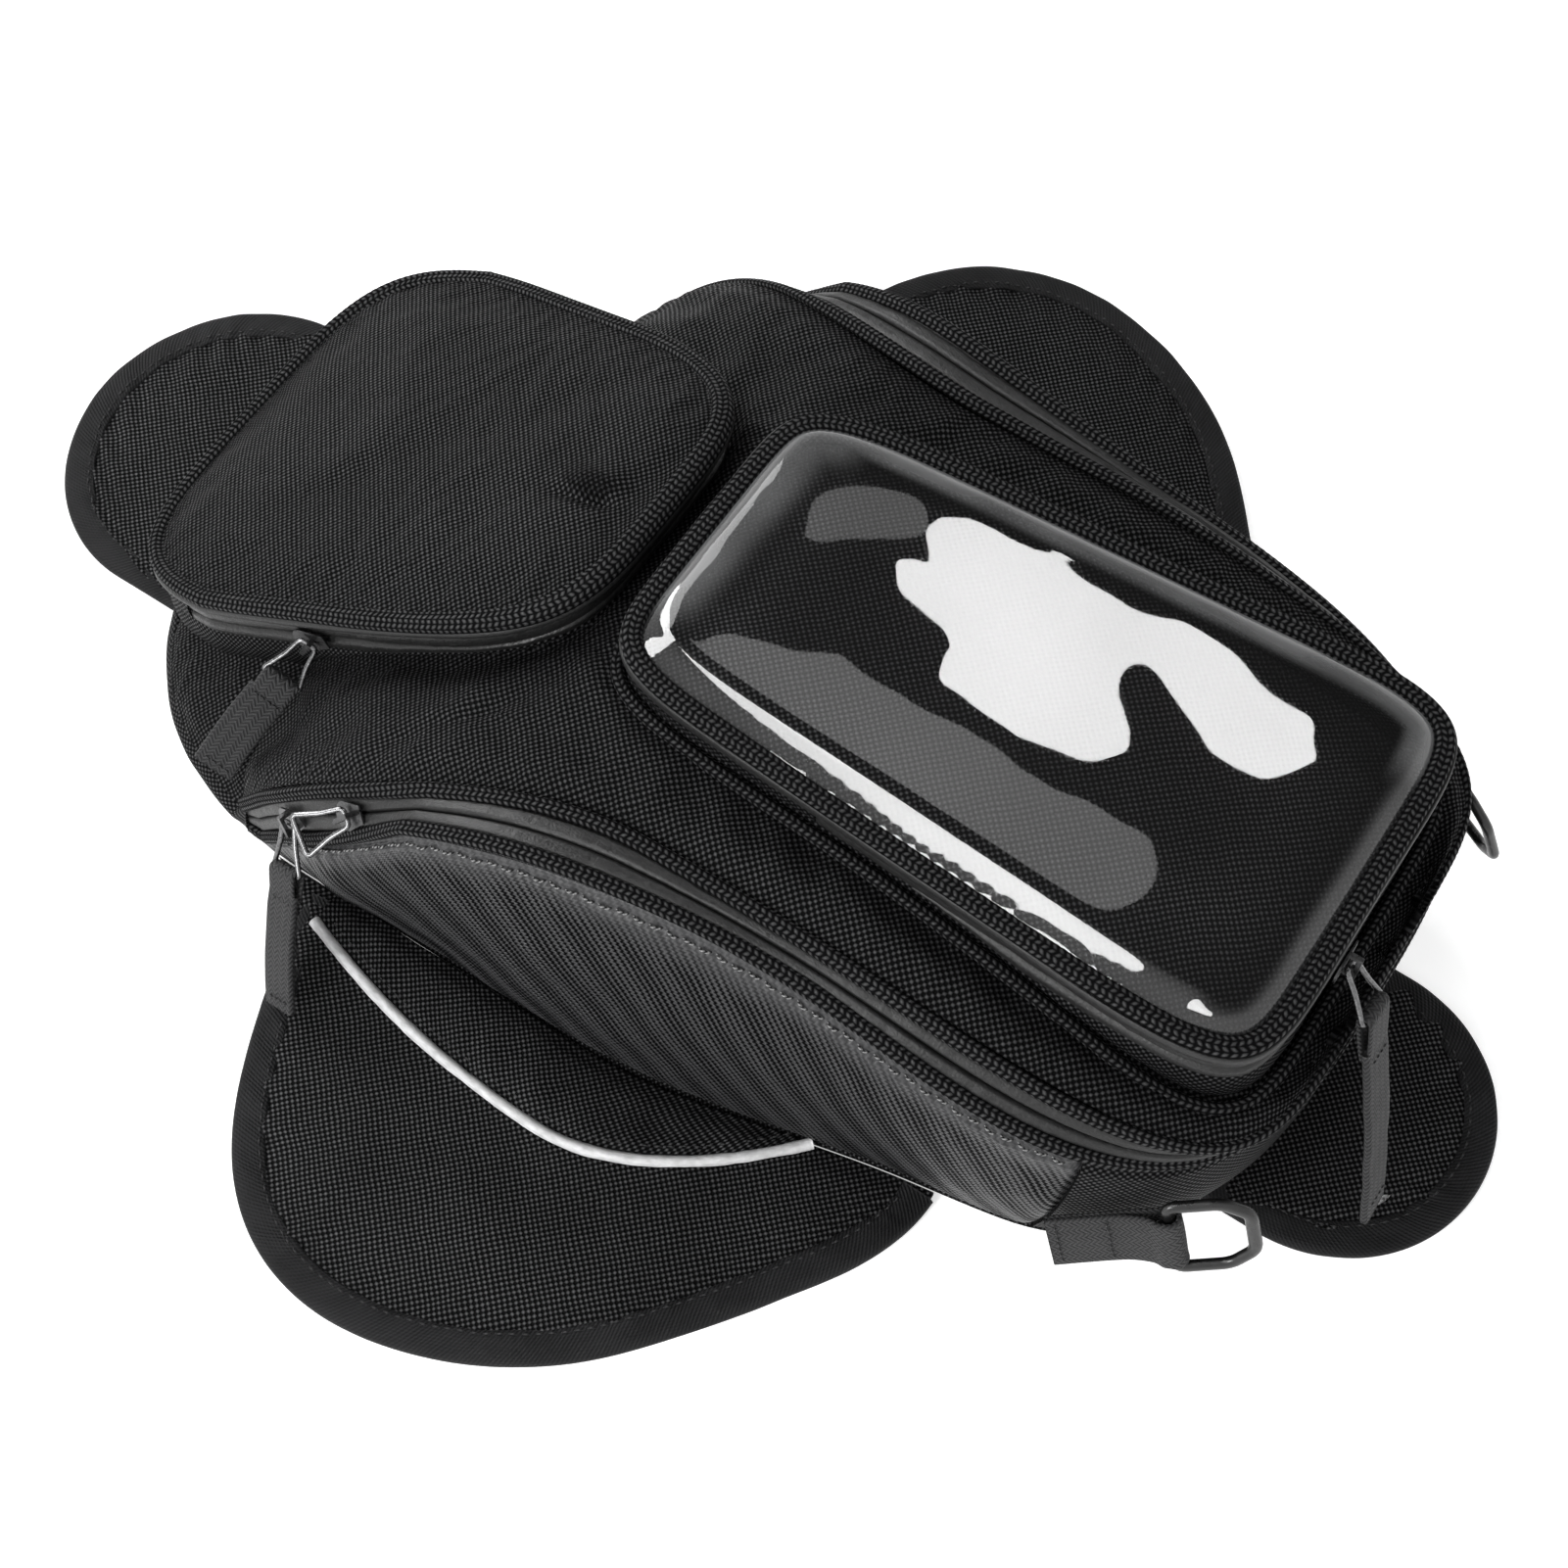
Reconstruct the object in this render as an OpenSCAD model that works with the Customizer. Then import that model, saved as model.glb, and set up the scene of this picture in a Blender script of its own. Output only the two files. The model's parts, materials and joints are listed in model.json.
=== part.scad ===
// Motorcycle tank bag with four magnetic flaps, a zipped main lid,
// a phone pocket with a clear window and a zipped front pocket.
// +Y points to the handlebar, +X to the rider's right, +Z up.
// The origin is the centre of the underside, on the tank surface.

/* [Base and walls] */
// Half width of the base at its widest
base_half_w = 106; // [100:1:112]
// Half width of the base near the seat end
base_rear_half_w = 85; // [80:1:90]
// Distance from the origin to the rear edge of the base
base_rear = 189; // [184:1:194]
// Distance from the origin to the tip of the nose
nose = 185; // [178:1:190]
// How far the side walls bulge outwards
side_bulge = 5; // [2:0.5:8]
// Thickness of the padded side and rear walls
wall_t = 3; // [2:0.5:4]

/* [Upper rim and lid] */
// Half width of the lid over the main zip
rim_half_w = 80; // [76:1:84]
// Half width of the lid where the zip ends at the front
rim_front_half_w = 105.5; // [102:0.5:107]
// Height of the zip seam at its highest
rim_top_z = 106.5; // [100:0.5:112]
// Height of the zip seam at the rear
rim_rear_z = 90; // [84:1:94]
// Distance from the origin to the rear edge of the lid
rim_rear = 200.5; // [198:0.5:202]
// Thickness of the padded lid panel
lid_t = 2.6; // [2:0.2:3.2]
// Half width of the lower zip seam at the rear
low_half_w = 91.5; // [89:0.5:94]
// Half width of the lower zip seam at the front
low_front_half_w = 110; // [107:0.5:112]

/* [Phone pocket] */
// Height of the clear window
window_z = 122; // [120:0.5:126]
// Half width of the window frame at the rear
window_half_w = 61; // [57:1:63]
// Front edge of the window frame
window_front = 11; // [6:1:13]
// Rear edge of the window frame
window_rear = 192; // [188:1:194]
// Where the phone pocket zip ends on both sides
window_zip_end = -62; // [-70:1:-55]

/* [Front pocket] */
// Half width of the front pocket at its widest
pocket_half_w = 73; // [68:1:76]
// Front edge of the front pocket
pocket_front = 184; // [180:0.5:184]
// Rear edge of the front pocket
pocket_rear = 20; // [18:1:26]
// Height of the front pocket plane above the origin
pocket_z = 130; // [128:0.5:134]
// Fall of the front pocket plane per millimetre forward
pocket_slope = 0.5; // [0.48:0.01:0.52]

/* [Flaps] */
// Thickness of a flap, without its lining
flap_t = 2.8; // [2.4:0.2:3.2]
// Radius of the side flaps about their centre
flap_r = 96; // [90:1:100]
// Distance from the origin to the tips of the front and rear flaps
flap_end = 252; // [240:1:260]
// Half width of the front flap
front_flap_half_w = 57; // [50:1:60]
// Half width of the rear flap
rear_flap_half_w = 46.5; // [42:1:50]
// Width of the binding on the flap edges
flap_binding_w = 10; // [7:0.5:12]
// Diameter of a flap magnet
magnet_d = 24; // [18:1:26]

/* [Hardware] */
// Diameter of the bent wire of a zip puller
wire_d = 1.6; // [1.2:0.1:1.7]
// Length of a wire puller
puller_l = 15; // [12:1:17]
// Width of a webbing pull
pull_w = 12.8; // [10:0.2:14]
// Thickness of a webbing pull
pull_t = 1.8; // [1.4:0.1:2.2]
// Bar diameter of a strap ring
ring_d = 4; // [3:0.5:4.2]
// Width of the strap webbing
strap_w = 20; // [16:1:21]

/* [Hidden] */

fabric_c = [0.09, 0.09, 0.1];
binding_c = [0.06, 0.06, 0.07];
tape_c = [0.14, 0.14, 0.15];
carbon_c = [0.3, 0.3, 0.32];
metal_c = [0.35, 0.35, 0.37];
magnet_c = [0.7, 0.7, 0.72];

// Where the main zip ends at the front, as a fraction of the way round
zip_a = 0.298;
seam = 0.5;

function sm(a, b, x) = let (t = min(1, max(0, (x - a) / (b - a)))) t * t * (3 - 2 * t);
function mix(a, b, t) = a + (b - a) * t;
function round_off(y, c, l, n) = pow(max(0, 1 - pow(min(1, abs(y - c) / l), n)), 1 / n);
function unit(v) = v / max(1e-9, norm(v));

// Half widths of the base, the lower zip seam and the upper zip seam at y
function w_base(y) = y > 85 ? base_half_w * round_off(y, 85, nose - 85, 2.3)
  : mix(base_rear_half_w, base_half_w, sm(-145, -15, y)) * (y < -110 ? round_off(y, -110, base_rear - 110, 3) : 1);
function w_low(y) = mix(low_half_w, low_front_half_w, sm(-90, 60, y)) * (1 - 0.032 * sm(60, 100, y))
  * (y > 85 ? round_off(y, 85, nose - 86, 2.3) : y < -100 ? round_off(y, -100, rim_rear - 99.3, 3) : 1);
function w_up(y) = mix(rim_half_w, rim_front_half_w, sm(-30, 90, y))
  * (y > 85 ? round_off(y, 85, nose - 87, 2.3) : y < 0 ? round_off(y, 0, rim_rear, 6) : 1);

// Heights of the two seams at y
front_z_low = 9;
front_z_up = 13.5;
function z_low(y) = let (t = min(1, max(0, (y + 20) / 118)),
    d = pow(t, 2.2) + 0.1 * sin(180 * min(1, max(0, (t - 0.45) / 0.55))))
  mix(rim_rear_z - 14, rim_top_z + 0.5, sm(-215, -30, y)) - (rim_top_z - front_z_low + 0.5) * d;
function z_rear(y) = mix(rim_rear_z, rim_top_z, sm(-215, -75, y));
function z_up(y) = let (t = min(1, max(0, (y + 25) / 135)))
  z_rear(y) - (rim_top_z - front_z_up) * (0.65 * pow(t, 1.9) + 0.35 * pow(t, 6));
// Height of the lid on its centre line
function z_mid(y) = let (a = z_rear(y) + 6 * sm(-199, -140, y), b = 105 - 0.5 * (y - 20),
    q = (a + b - sqrt((a - b) * (a - b) + 64)) / 2, t = max(0, (y - 110) / (nose - 112)))
  front_z_up + (q - front_z_up) * sqrt(max(0, 1 - pow(min(1, t), 4)));
function z_lid(x, y) = let (v = min(nose - 3, max(-rim_rear + 0.3, y)), w = max(1, w_up(v)), t = min(1, abs(x) / w))
  z_up(v) + (z_mid(v) - z_up(v)) * (1 - pow(t, 2.4));

// Way round the bag: 0 is the nose, 1 the rear, 2 the nose again
function wrap(a) = a - 2 * floor(a / 2);
function along(a) = let (b = wrap(a)) b <= 1 ? b : 2 - b;
function hand(a) = wrap(a) <= 1 ? -1 : 1;
function y_at(a, f, r) = f - (f + r) * (1 - cos(180 * along(a))) / 2;
function p_base(a) = let (y = y_at(a, nose, base_rear)) [hand(a) * w_base(y), y, 3];
function p_low(a) = let (y = y_at(a, nose - 1, rim_rear + 0.7)) [hand(a) * w_low(y), y, z_low(y)];
function p_up(a) = let (y = y_at(a, nose - 2, rim_rear)) [hand(a) * w_up(y), y, z_up(y)];
function flat_normal(a) = let (d = p_base(a + 0.004) - p_base(a - 0.004)) unit([d[1], -d[0], 0]) * (-1);
// Wall between the base and the lower seam; band between the two seams
function wall(a, v) = let (b = p_base(a), d = p_low(a), n = flat_normal(a),
    k = side_bulge * sm(9, 60, d[2]) * sin(180 * min(1, max(0, v))))
  b + (d - b) * v + n * k * (n * [b[0], b[1], 0] > 0 ? 1 : -1);
function band(a, v) = let (d = p_low(a), u = p_up(a)) d + (u - d) * v;
function normal_of(f, a, v) = let (e = 0.004,
    n = unit(cross(f(a + e, v) - f(a - e, v), f(a, v + 0.02) - f(a, v - 0.02))), p = f(a, v))
  (n * [p[0], p[1] + 10, 60] > 0 ? n : -n);
function lifted(f, a, v, h) = f(a, v) + h * normal_of(f, a, v);

// Sections of a padded sheet between two heights over a surface
function sheet(f, a0, a1, na, v0, v1, nv, h1, h0) = [for (i = [0:na]) let (a = mix(a0, a1, i / na))
  concat([for (j = [0:nv]) lifted(f, a, mix(v0, v1, j / nv), h1)],
         [for (j = [nv:-1:0]) lifted(f, a, mix(v0, v1, j / nv), h0)])];
function ring_sheet(f, na, v0, v1, nv, h1, h0) = let (s = sheet(f, 0.001, 2.001, na, v0, v1, nv, h1, h0)) [for (i = [0:na - 1]) s[i]];

// Outlines of the window frame and the front pocket, with an inset
function win_half(y) = (window_half_w - 0.06 * (y + 150)) * round_off(y, (window_front - window_rear) / 2, (window_front + window_rear) / 2, 7);
function p_win(a) = let (y = y_at(a, window_front, window_rear)) [hand(a) * win_half(y), y];
function poc_half(y) = (pocket_half_w - 0.17 * max(0, 140 - y)) * round_off(y, (pocket_front + pocket_rear) / 2, (pocket_front - pocket_rear) / 2, 4);
function p_poc(a) = let (y = y_at(a, pocket_front, -pocket_rear)) [hand(a) * poc_half(y), y];
function inset(f, a, c, h) = let (d = f(a + 0.005) - f(a - 0.005), n = unit([d[1], -d[0]]), p = f(a), s = (n * (p - c) > 0) ? 1 : -1) p - n * s * h;
function win_in(a, h) = inset(function (q) p_win(q), a, [0, -90], h);
function poc_in(a, h) = inset(function (q) p_poc(q), a, [0, 102], h);
function z_poc(y) = pocket_z - pocket_slope * y;

// Upright ring between two insets; heights are functions of x and y
function upright(g, a0, a1, n, i0, i1, zt, zb) = [for (k = [0:n]) let (a = mix(a0, a1, k / n), o = g(a, i0), q = g(a, i1))
  [[o[0], o[1], zt(o[0], o[1])], [q[0], q[1], zt(q[0], q[1])], [q[0], q[1], zb(q[0], q[1])], [o[0], o[1], zb(o[0], o[1])]]];

// Closed skin over a run of equal sections
module skin(s, closed = false) {
  n = len(s); k = len(s[0]);
  pts = [for (q = s) for (p = q) p];
  m = closed ? n : n - 1;
  sides = [for (i = [0:m - 1]) for (j = [0:k - 1]) let (a = i * k + j, b = i * k + (j + 1) % k,
      c = ((i + 1) % n) * k + (j + 1) % k, d = ((i + 1) % n) * k + j) each [[a, b, c], [a, c, d]]];
  e = (n - 1) * k;
  caps = closed ? [] : concat(
    [for (j = [0:k / 2 - 2]) each [[j, k - 2 - j, j + 1], [j, k - 1 - j, k - 2 - j]]],
    [for (j = [0:k / 2 - 2]) each [[e + j, e + j + 1, e + k - 2 - j], [e + j, e + k - 2 - j, e + k - 1 - j]]]);
  f = concat(sides, caps);
  vols = [for (t = f) pts[t[0]] * cross(pts[t[1]], pts[t[2]])];
  v = sum(vols);
  polyhedron(pts, v > 0 ? [for (t = f) [t[2], t[1], t[0]]] : f, convexity = 8);
}
function sum(v) = v * [for (q = v) 1];

// ---- Base and walls ----
module outline(f, h, n = 80) polygon([for (k = [0:n - 1]) let (a = 2 * (k + 0.5) / n) inset(f, a, [0, 0], h)]);
module base_panel() color(fabric_c) linear_extrude(2) outline(function (a) [p_base(a)[0], p_base(a)[1]], 0);
module base_foam() color([0.25, 0.25, 0.27]) translate([0, 0, 2.3]) linear_extrude(5) outline(function (a) [p_base(a)[0], p_base(a)[1]], 7);
module base_board() color([0.2, 0.2, 0.22]) translate([0, 0, 7.6]) linear_extrude(1.6) outline(function (a) [p_base(a)[0], p_base(a)[1]], 9);
module tub_lining() color([0.16, 0.16, 0.17])
  skin(ring_sheet(function (a, v) wall(a, v), 72, 0.02, 0.93, 3, -wall_t - 0.5, -wall_t - 1.3), true);
wall_a = 0.27;
rear_a = 0.80;
module side_panel(a0, a1) color(carbon_c)
  skin(sheet(function (a, v) wall(a, v), a0, a1, 26, 0, 0.93, 6, 0, -wall_t));
module left_side_panel() side_panel(wall_a + 0.004, rear_a - 0.002);
module right_side_panel() side_panel(2 - rear_a + 0.002, 2 - wall_a - 0.004);
module nose_panel() color(fabric_c)
  skin(sheet(function (a, v) wall(a, v), -wall_a, wall_a, 30, 0, 0.95, 2, 0, -wall_t));
module rear_panel() color(fabric_c)
  skin(sheet(function (a, v) wall(a, v), rear_a, 2 - rear_a, 30, 0, 0.95, 5, 0, -wall_t));
module lower_binding() color(binding_c)
  skin(sheet(function (a, v) band(a, v), zip_a, 2 - zip_a, 70, 0, 0.22, 1, 1.6, -1.6));
module main_zip_lower_tape() color(tape_c)
  skin(sheet(function (a, v) band(a, v), zip_a, 2 - zip_a, 70, 0.25, 0.5 - 0.008, 1, 0.5, -0.6));

// ---- Lid ----
// Sections of the lid at rows from the nose to the rear
function lid_rows(h1, h0, edge, n, nt) = [for (i = [0:n]) let (s = mix(0.02, 0.926, i / n), y = y_at(s, nose - 2, rim_rear), w = w_up(y) - edge - max(0, -185 - y) * 0.1)
  concat([for (j = [0:nt]) let (x = w * (2 * j / nt - 1)) [x, y, z_lid(x, y) + h1]],
         [for (j = [nt:-1:0]) let (x = w * (2 * j / nt - 1)) [x, y, z_lid(x, y) + h0]])];
module lid_top_panel() color(fabric_c) skin(lid_rows(0, -lid_t, 3.3, 40, 16));
module lid_lining() color([0.16, 0.16, 0.17]) skin(lid_rows(-lid_t - 1.8, -lid_t - 2.6, 9, 40, 16));
module lid_binding() color(binding_c)
  skin(sheet(function (a, v) band(a, v), zip_a, 2 - zip_a, 70, 0.78, 0.985, 1, 1.6, -0.8));
module main_zip_upper_tape() color(tape_c)
  skin(sheet(function (a, v) band(a, v), zip_a, 2 - zip_a, 70, 0.5 + 0.008, 0.75, 1, 0.5, -0.6));

// ---- Phone pocket ----
zip_h = 6;
// Way round the window at which its zip ends
function way(y, f, r) = acos(1 - 2 * (f - y) / (f + r)) / 180;
win_a = way(window_zip_end, window_front, window_rear);
module window_gusset() color(fabric_c)
  skin(let (s = upright(function (a, h) win_in(a, h), 0.001, 2.001, 72, 1.6, 3.2,
    function (x, y) max(z_lid(x, y) + 1.4, window_z - 4 - 2 * zip_h), function (x, y) z_lid(x, y) + 0.4)) [for (i = [0:71]) s[i]], true);
module window_zip_lower_tape() color(tape_c)
  skin(upright(function (a, h) win_in(a, h), win_a, 2 - win_a, 50, 1.6, 2.6,
    function (x, y) window_z - 4 - zip_h, function (x, y) max(z_lid(x, y) + 1.7, window_z - 4 - 2 * zip_h + 0.3)));
module window_zip_upper_tape() color(tape_c)
  skin(upright(function (a, h) win_in(a, h), win_a + 0.004, 2 - win_a - 0.004, 50, 1.6, 2.6,
    function (x, y) window_z - 4.2, function (x, y) window_z - 3.7 - zip_h));
module win_slab(i, h) linear_extrude(h) outline_win(i);
module outline_win(i, n = 72) polygon([for (k = [0:n - 1]) let (a = 2 * (k + 0.5) / n) win_in(a, i)]);
module behind_fold() translate([-100, -300, 0]) cube([200, 300 + window_zip_end - seam, 300]);
module before_fold() translate([-100, window_zip_end + seam, 0]) cube([200, 200, 300]);
module frame_solid() translate([0, 0, window_z - 4]) difference() { win_slab(0, 5); translate([0, 0, -1]) win_slab(6.5, 7); }
module pane_solid() translate([0, 0, window_z - 0.2]) win_slab(6.8, 1.4);
module window_frame() color(binding_c) intersection() { frame_solid(); behind_fold(); }
module window_frame_front() color(binding_c) intersection() { frame_solid(); before_fold(); }
module window_pane() color([0.75, 0.78, 0.8, 0.4]) intersection() { pane_solid(); behind_fold(); }
module window_pane_front() color([0.75, 0.78, 0.8, 0.4]) intersection() { pane_solid(); before_fold(); }

// ---- Front pocket ----
poc_a = way(150, pocket_front, -pocket_rear);
module front_pocket_gusset() color(fabric_c)
  skin(let (s = upright(function (a, h) poc_in(a, h), 0.001, 2.001, 72, 2.2, 3.8,
    function (x, y) max(z_lid(x, y) + 3.4, z_poc(y) - 18.6), function (x, y) z_lid(x, y) + 2)) [for (i = [0:71]) s[i]], true);
module pocket_zip_lower_tape() color(tape_c)
  skin(upright(function (a, h) poc_in(a, h), poc_a, 2 - poc_a, 50, 2.2, 3.2,
    function (x, y) z_poc(y) - 12.2, function (x, y) max(z_lid(x, y) + 3.8, z_poc(y) - 18.2)));
module pocket_zip_upper_tape() color(tape_c)
  skin(upright(function (a, h) poc_in(a, h), poc_a + 0.004, 2 - poc_a - 0.004, 50, 2.2, 3.2,
    function (x, y) z_poc(y) - 6.3, function (x, y) z_poc(y) - 11.9));
module front_pocket_binding() color(binding_c)
  skin(let (s = upright(function (a, h) poc_in(a, h), 0.001, 2.001, 72, 0, 4.4,
    function (x, y) z_poc(y) + 0.2, function (x, y) z_poc(y) - 6)) [for (i = [0:71]) s[i]], true);
poc_edge = 5.4;
function poc_rows(n, nt) = [for (i = [0:n]) let (y = y_at(i / n, pocket_front - poc_edge - 0.4, -(pocket_rear + poc_edge + 0.4)),
    w = min([for (k = [-90:15:90]) poc_half(y + poc_edge * sin(k)) - poc_edge * cos(k)]))
  concat([for (j = [0:nt]) let (t = 2 * j / nt - 1) [w * t, y, z_poc(y) + 6 * (1 - pow(abs(t), 2.5)) * sin(180 * (pocket_front - y) / (pocket_front - pocket_rear))]],
         [for (j = [nt:-1:0]) let (t = 2 * j / nt - 1) [w * t, y, z_poc(y) - 2 + 6 * (1 - pow(abs(t), 2.5)) * sin(180 * (pocket_front - y) / (pocket_front - pocket_rear))]])];
module front_pocket_top() color(fabric_c) skin(poc_rows(24, 12));

// ---- Flaps ----
flap_c = [100, -22];
function flap_rad(q) = flap_r + 19 * exp(-pow((q - 66) / 34, 2)) + 6 * exp(-pow(q / 25, 2)) - 7 * exp(-pow((q - 142) / 25, 2)) + 9 * sm(155, 190, q);
function side_arc(h, n = 48) = [for (k = [0:n]) let (q = mix(6, 186, k / n), r = flap_rad(q) - h) [flap_c[0] + r * sin(q), flap_c[1] + r * cos(q)]];
module under(h) linear_extrude(60, center = true) outline(function (a) [p_base(a)[0], p_base(a)[1]], -h);
module right_shape(h, t) difference() {
  linear_extrude(t) polygon(concat(side_arc(h), [[60, flap_c[1] - 90], [60, flap_c[1] + 90]]));
  under(2.2);
}
module left_shape(h, t) mirror([1, 0, 0]) right_shape(h, t);
function end_arc(h, w, c, n = 40) = [for (k = [0:n]) let (q = mix(0, 180, k / n)) [(w - h) * cos(q), c + (flap_end - c - h) * sin(q)]];
module front_shape(h, t) difference() {
  linear_extrude(t) polygon(concat(end_arc(h, front_flap_half_w, 200), [[-front_flap_half_w + h, 140], [front_flap_half_w - h, 140]]));
  under(2.2);
}
module rear_shape(h, t) rotate([0, 0, 180]) difference() {
  linear_extrude(t) polygon(concat(end_arc(h, rear_flap_half_w, 205), [[-rear_flap_half_w + h, 160], [rear_flap_half_w - h, 160]]));
  rotate([0, 0, 180]) under(2.2);
}
lining_t = 0.9;
z_flap = lining_t + 0.2;
side_magnets = [[150, 28], [160, -18], [138, -62]];
front_magnets = [[-20, 216], [20, 216]];
rear_magnets = [[-15, -220], [15, -220]];
module discs(c, r, h) for (q = c) translate([q[0], q[1], 0]) cylinder(r = r, h = h, $fn = 48);
module flap_body(c) color(fabric_c) difference() {
  translate([0, 0, z_flap]) children();
  translate([0, 0, z_flap - 1]) discs(c, magnet_d / 2 + 0.3, 3.2);
}
module magnets(c) color(magnet_c) translate([0, 0, z_flap + 0.05]) discs(c, magnet_d / 2, 2);
module edge_binding(h) { difference() { children(0); translate([0, 0, -1]) children(1); } }
module left_flap() mirror([1, 0, 0]) right_flap();
module right_flap() flap_body(side_magnets) right_shape(flap_binding_w + 0.3, flap_t);
module right_flap_lining() color([0.13, 0.13, 0.14]) right_shape(flap_binding_w + 0.3, lining_t);
module left_flap_lining() mirror([1, 0, 0]) right_flap_lining();
module right_flap_binding() color(binding_c) edge_binding() { right_shape(0, z_flap + flap_t); linear_extrude(9) polygon(concat(side_arc(flap_binding_w), [[60, flap_c[1] - 130], [60, flap_c[1] + 130]])); }
module left_flap_binding() mirror([1, 0, 0]) right_flap_binding();
module right_flap_magnets() magnets(side_magnets);
module left_flap_magnets() mirror([1, 0, 0]) right_flap_magnets();
function pipe_x(y) = 134 - (y > -20 ? 0.0019 : 0.0086) * pow(y + 20, 2);
module right_flap_piping() color([0.75, 0.75, 0.75]) skin([for (k = [0:30]) let (y = mix(62, -70, k / 30), x = pipe_x(y), m = pipe_x(y + 1) - pipe_x(y - 1), n = unit([2, -m, 0]))
  [for (q = [22.5:45:337.5]) [x, y, z_flap + flap_t + 2] + 1.6 * (cos(q) * n + [0, 0, sin(q)])]]);
module left_flap_piping() mirror([1, 0, 0]) right_flap_piping();
module front_flap() flap_body(front_magnets) front_shape(flap_binding_w + 0.3, flap_t);
module front_flap_lining() color([0.13, 0.13, 0.14]) front_shape(flap_binding_w + 0.3, lining_t);
module front_flap_binding() color(binding_c) difference() { front_shape(0, z_flap + flap_t); translate([0, 0, -1]) linear_extrude(9) polygon(concat(end_arc(flap_binding_w, front_flap_half_w, 200), [[-front_flap_half_w + flap_binding_w, 130], [front_flap_half_w - flap_binding_w, 130]])); }
module front_flap_magnets() magnets(front_magnets);
module rear_flap() flap_body(rear_magnets) rear_shape(flap_binding_w + 0.3, flap_t);
module rear_flap_lining() color([0.13, 0.13, 0.14]) rear_shape(flap_binding_w + 0.3, lining_t);
module rear_flap_binding() color(binding_c) difference() { rear_shape(0, z_flap + flap_t); translate([0, 0, -1]) rotate([0, 0, 180]) linear_extrude(9) polygon(concat(end_arc(flap_binding_w, rear_flap_half_w, 205), [[-rear_flap_half_w + flap_binding_w, 150], [rear_flap_half_w - flap_binding_w, 150]])); }
module rear_flap_magnets() magnets(rear_magnets);

// ---- Strap tabs and rings ----
// Place children with x along t, y along n and z along their normal
module placed(p, t, n) {
  x = unit(t); z = unit(cross(x, n)); y = cross(z, x);
  multmatrix([[x[0], y[0], z[0], p[0]], [x[1], y[1], z[1], p[1]], [x[2], y[2], z[2], p[2]], [0, 0, 0, 1]]) children();
}
strap_a = 0.832;
strap_v = 0.6;
// The tab stands off the wall and leans back a little
strap_w0 = normal_of(function (a, v) wall(a, v), strap_a, strap_v);
strap_h = unit([strap_w0[0], strap_w0[1], 0]);
strap_n = unit(strap_h + [0, 0, 0.3]);
strap_t = unit(unit(wall(strap_a + 0.01, strap_v) - wall(strap_a - 0.01, strap_v)) + [0, 0, 0.3]);
strap_p = wall(strap_a, strap_v) + strap_h * 5;
bar_t = 15;
bar_n = 3.4;
module tab_shape() linear_extrude(strap_w, center = true) difference() {
  union() { translate([-17, 0]) square([32, 1.8]); translate([bar_t, bar_n]) circle(r = ring_d / 2 + 1.6, $fn = 40); translate([bar_t - 4, 0]) square([4, bar_n]); }
  translate([bar_t, bar_n]) circle(r = ring_d / 2 + 0.4, $fn = 40);
}
module left_strap_tab() color(binding_c) placed(strap_p, strap_t, strap_n) tab_shape();
module right_strap_tab() mirror([1, 0, 0]) left_strap_tab();
// Flat loop with bars of one width, lying in the x-z plane and centred on y
module loop(pts, d) rotate([90, 0, 0]) translate([0, 0, -d / 2]) linear_extrude(d) difference() { polygon(grown(pts, d / 2)); polygon(grown(pts, -d / 2)); }
function grown(p, h) = let (n = len(p)) [for (i = [0:n - 1]) let (a = unit(p[i] - p[(i + n - 1) % n]), b = unit(p[(i + 1) % n] - p[i]),
    m = unit([a[1] + b[1], -a[0] - b[0]])) p[i] + m * h / (m * [a[1], -a[0]])];
module left_strap_ring() color([0.1, 0.1, 0.1]) placed(strap_p, strap_t, strap_n) translate([0, bar_n, 0])
  loop([[bar_t, -13.5], [bar_t + 14, -13.5], [bar_t + 21, -8], [bar_t + 21, 8], [bar_t + 14, 13.5], [bar_t, 13.5]], ring_d * 0.75);
module right_strap_ring() mirror([1, 0, 0]) left_strap_ring();

// ---- Sliders, wire pullers and webbing pulls ----
// Local frame of a slider: x along the zip, y out of the fabric, z across.
// The bridge is turned so that it lies along its puller.
module slider_shape(turn = 0) color(metal_c) {
  translate([0, 2, 0]) rotate([-90, 0, 0]) linear_extrude(0.5) union() {
    translate([-2.2, 0]) circle(d = 8.6, $fn = 32);
    polygon([[-2, 4.3], [5.6, 2.6], [5.6, -2.6], [-2, -4.3]]); }
  rotate([0, turn, 0]) {
    translate([-3.7, 2.4, -0.7]) cube([1.2, 3.7, 1.4]);
    translate([2.5, 2.4, -0.7]) cube([1.2, 3.7, 1.4]);
    translate([-3.7, 4.9, -0.7]) cube([7.4, 1.2, 1.4]);
  }
}
// Turn of a bridge on a zip with direction t and outward normal n under a puller along d
function bridge_turn(t, n, d) = let (x = unit(t), z = unit(cross(x, n))) -atan2(d * z, d * x);
// Wire puller: x along its length, z along its pivot
module puller_shape() color(metal_c)
  loop([[0, -2.6], [puller_l * 0.45, -3.6], [puller_l, -6.2], [puller_l, 6.2], [puller_l * 0.45, 3.6], [0, 2.6]], wire_d * 0.8);
// Webbing pull looped over the end bar of the wire, x along its length
module webbing_shape(l) color(binding_c) linear_extrude(9.4, center = true) difference() {
  union() { circle(r = wire_d / 2 + 1.5, $fn = 32); translate([0, -pull_t / 2]) square([l * 0.22, pull_t]); }
  circle(r = wire_d / 2 + 0.35, $fn = 32);
}
module webbing_tail(l) color(binding_c) translate([l * 0.22 - 0.5, -pull_t / 2, -pull_w / 2]) cube([l * 0.78, pull_t, pull_w]);
module pull_shape(l) color(binding_c) union() { webbing_shape(l); webbing_tail(l); }

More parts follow.
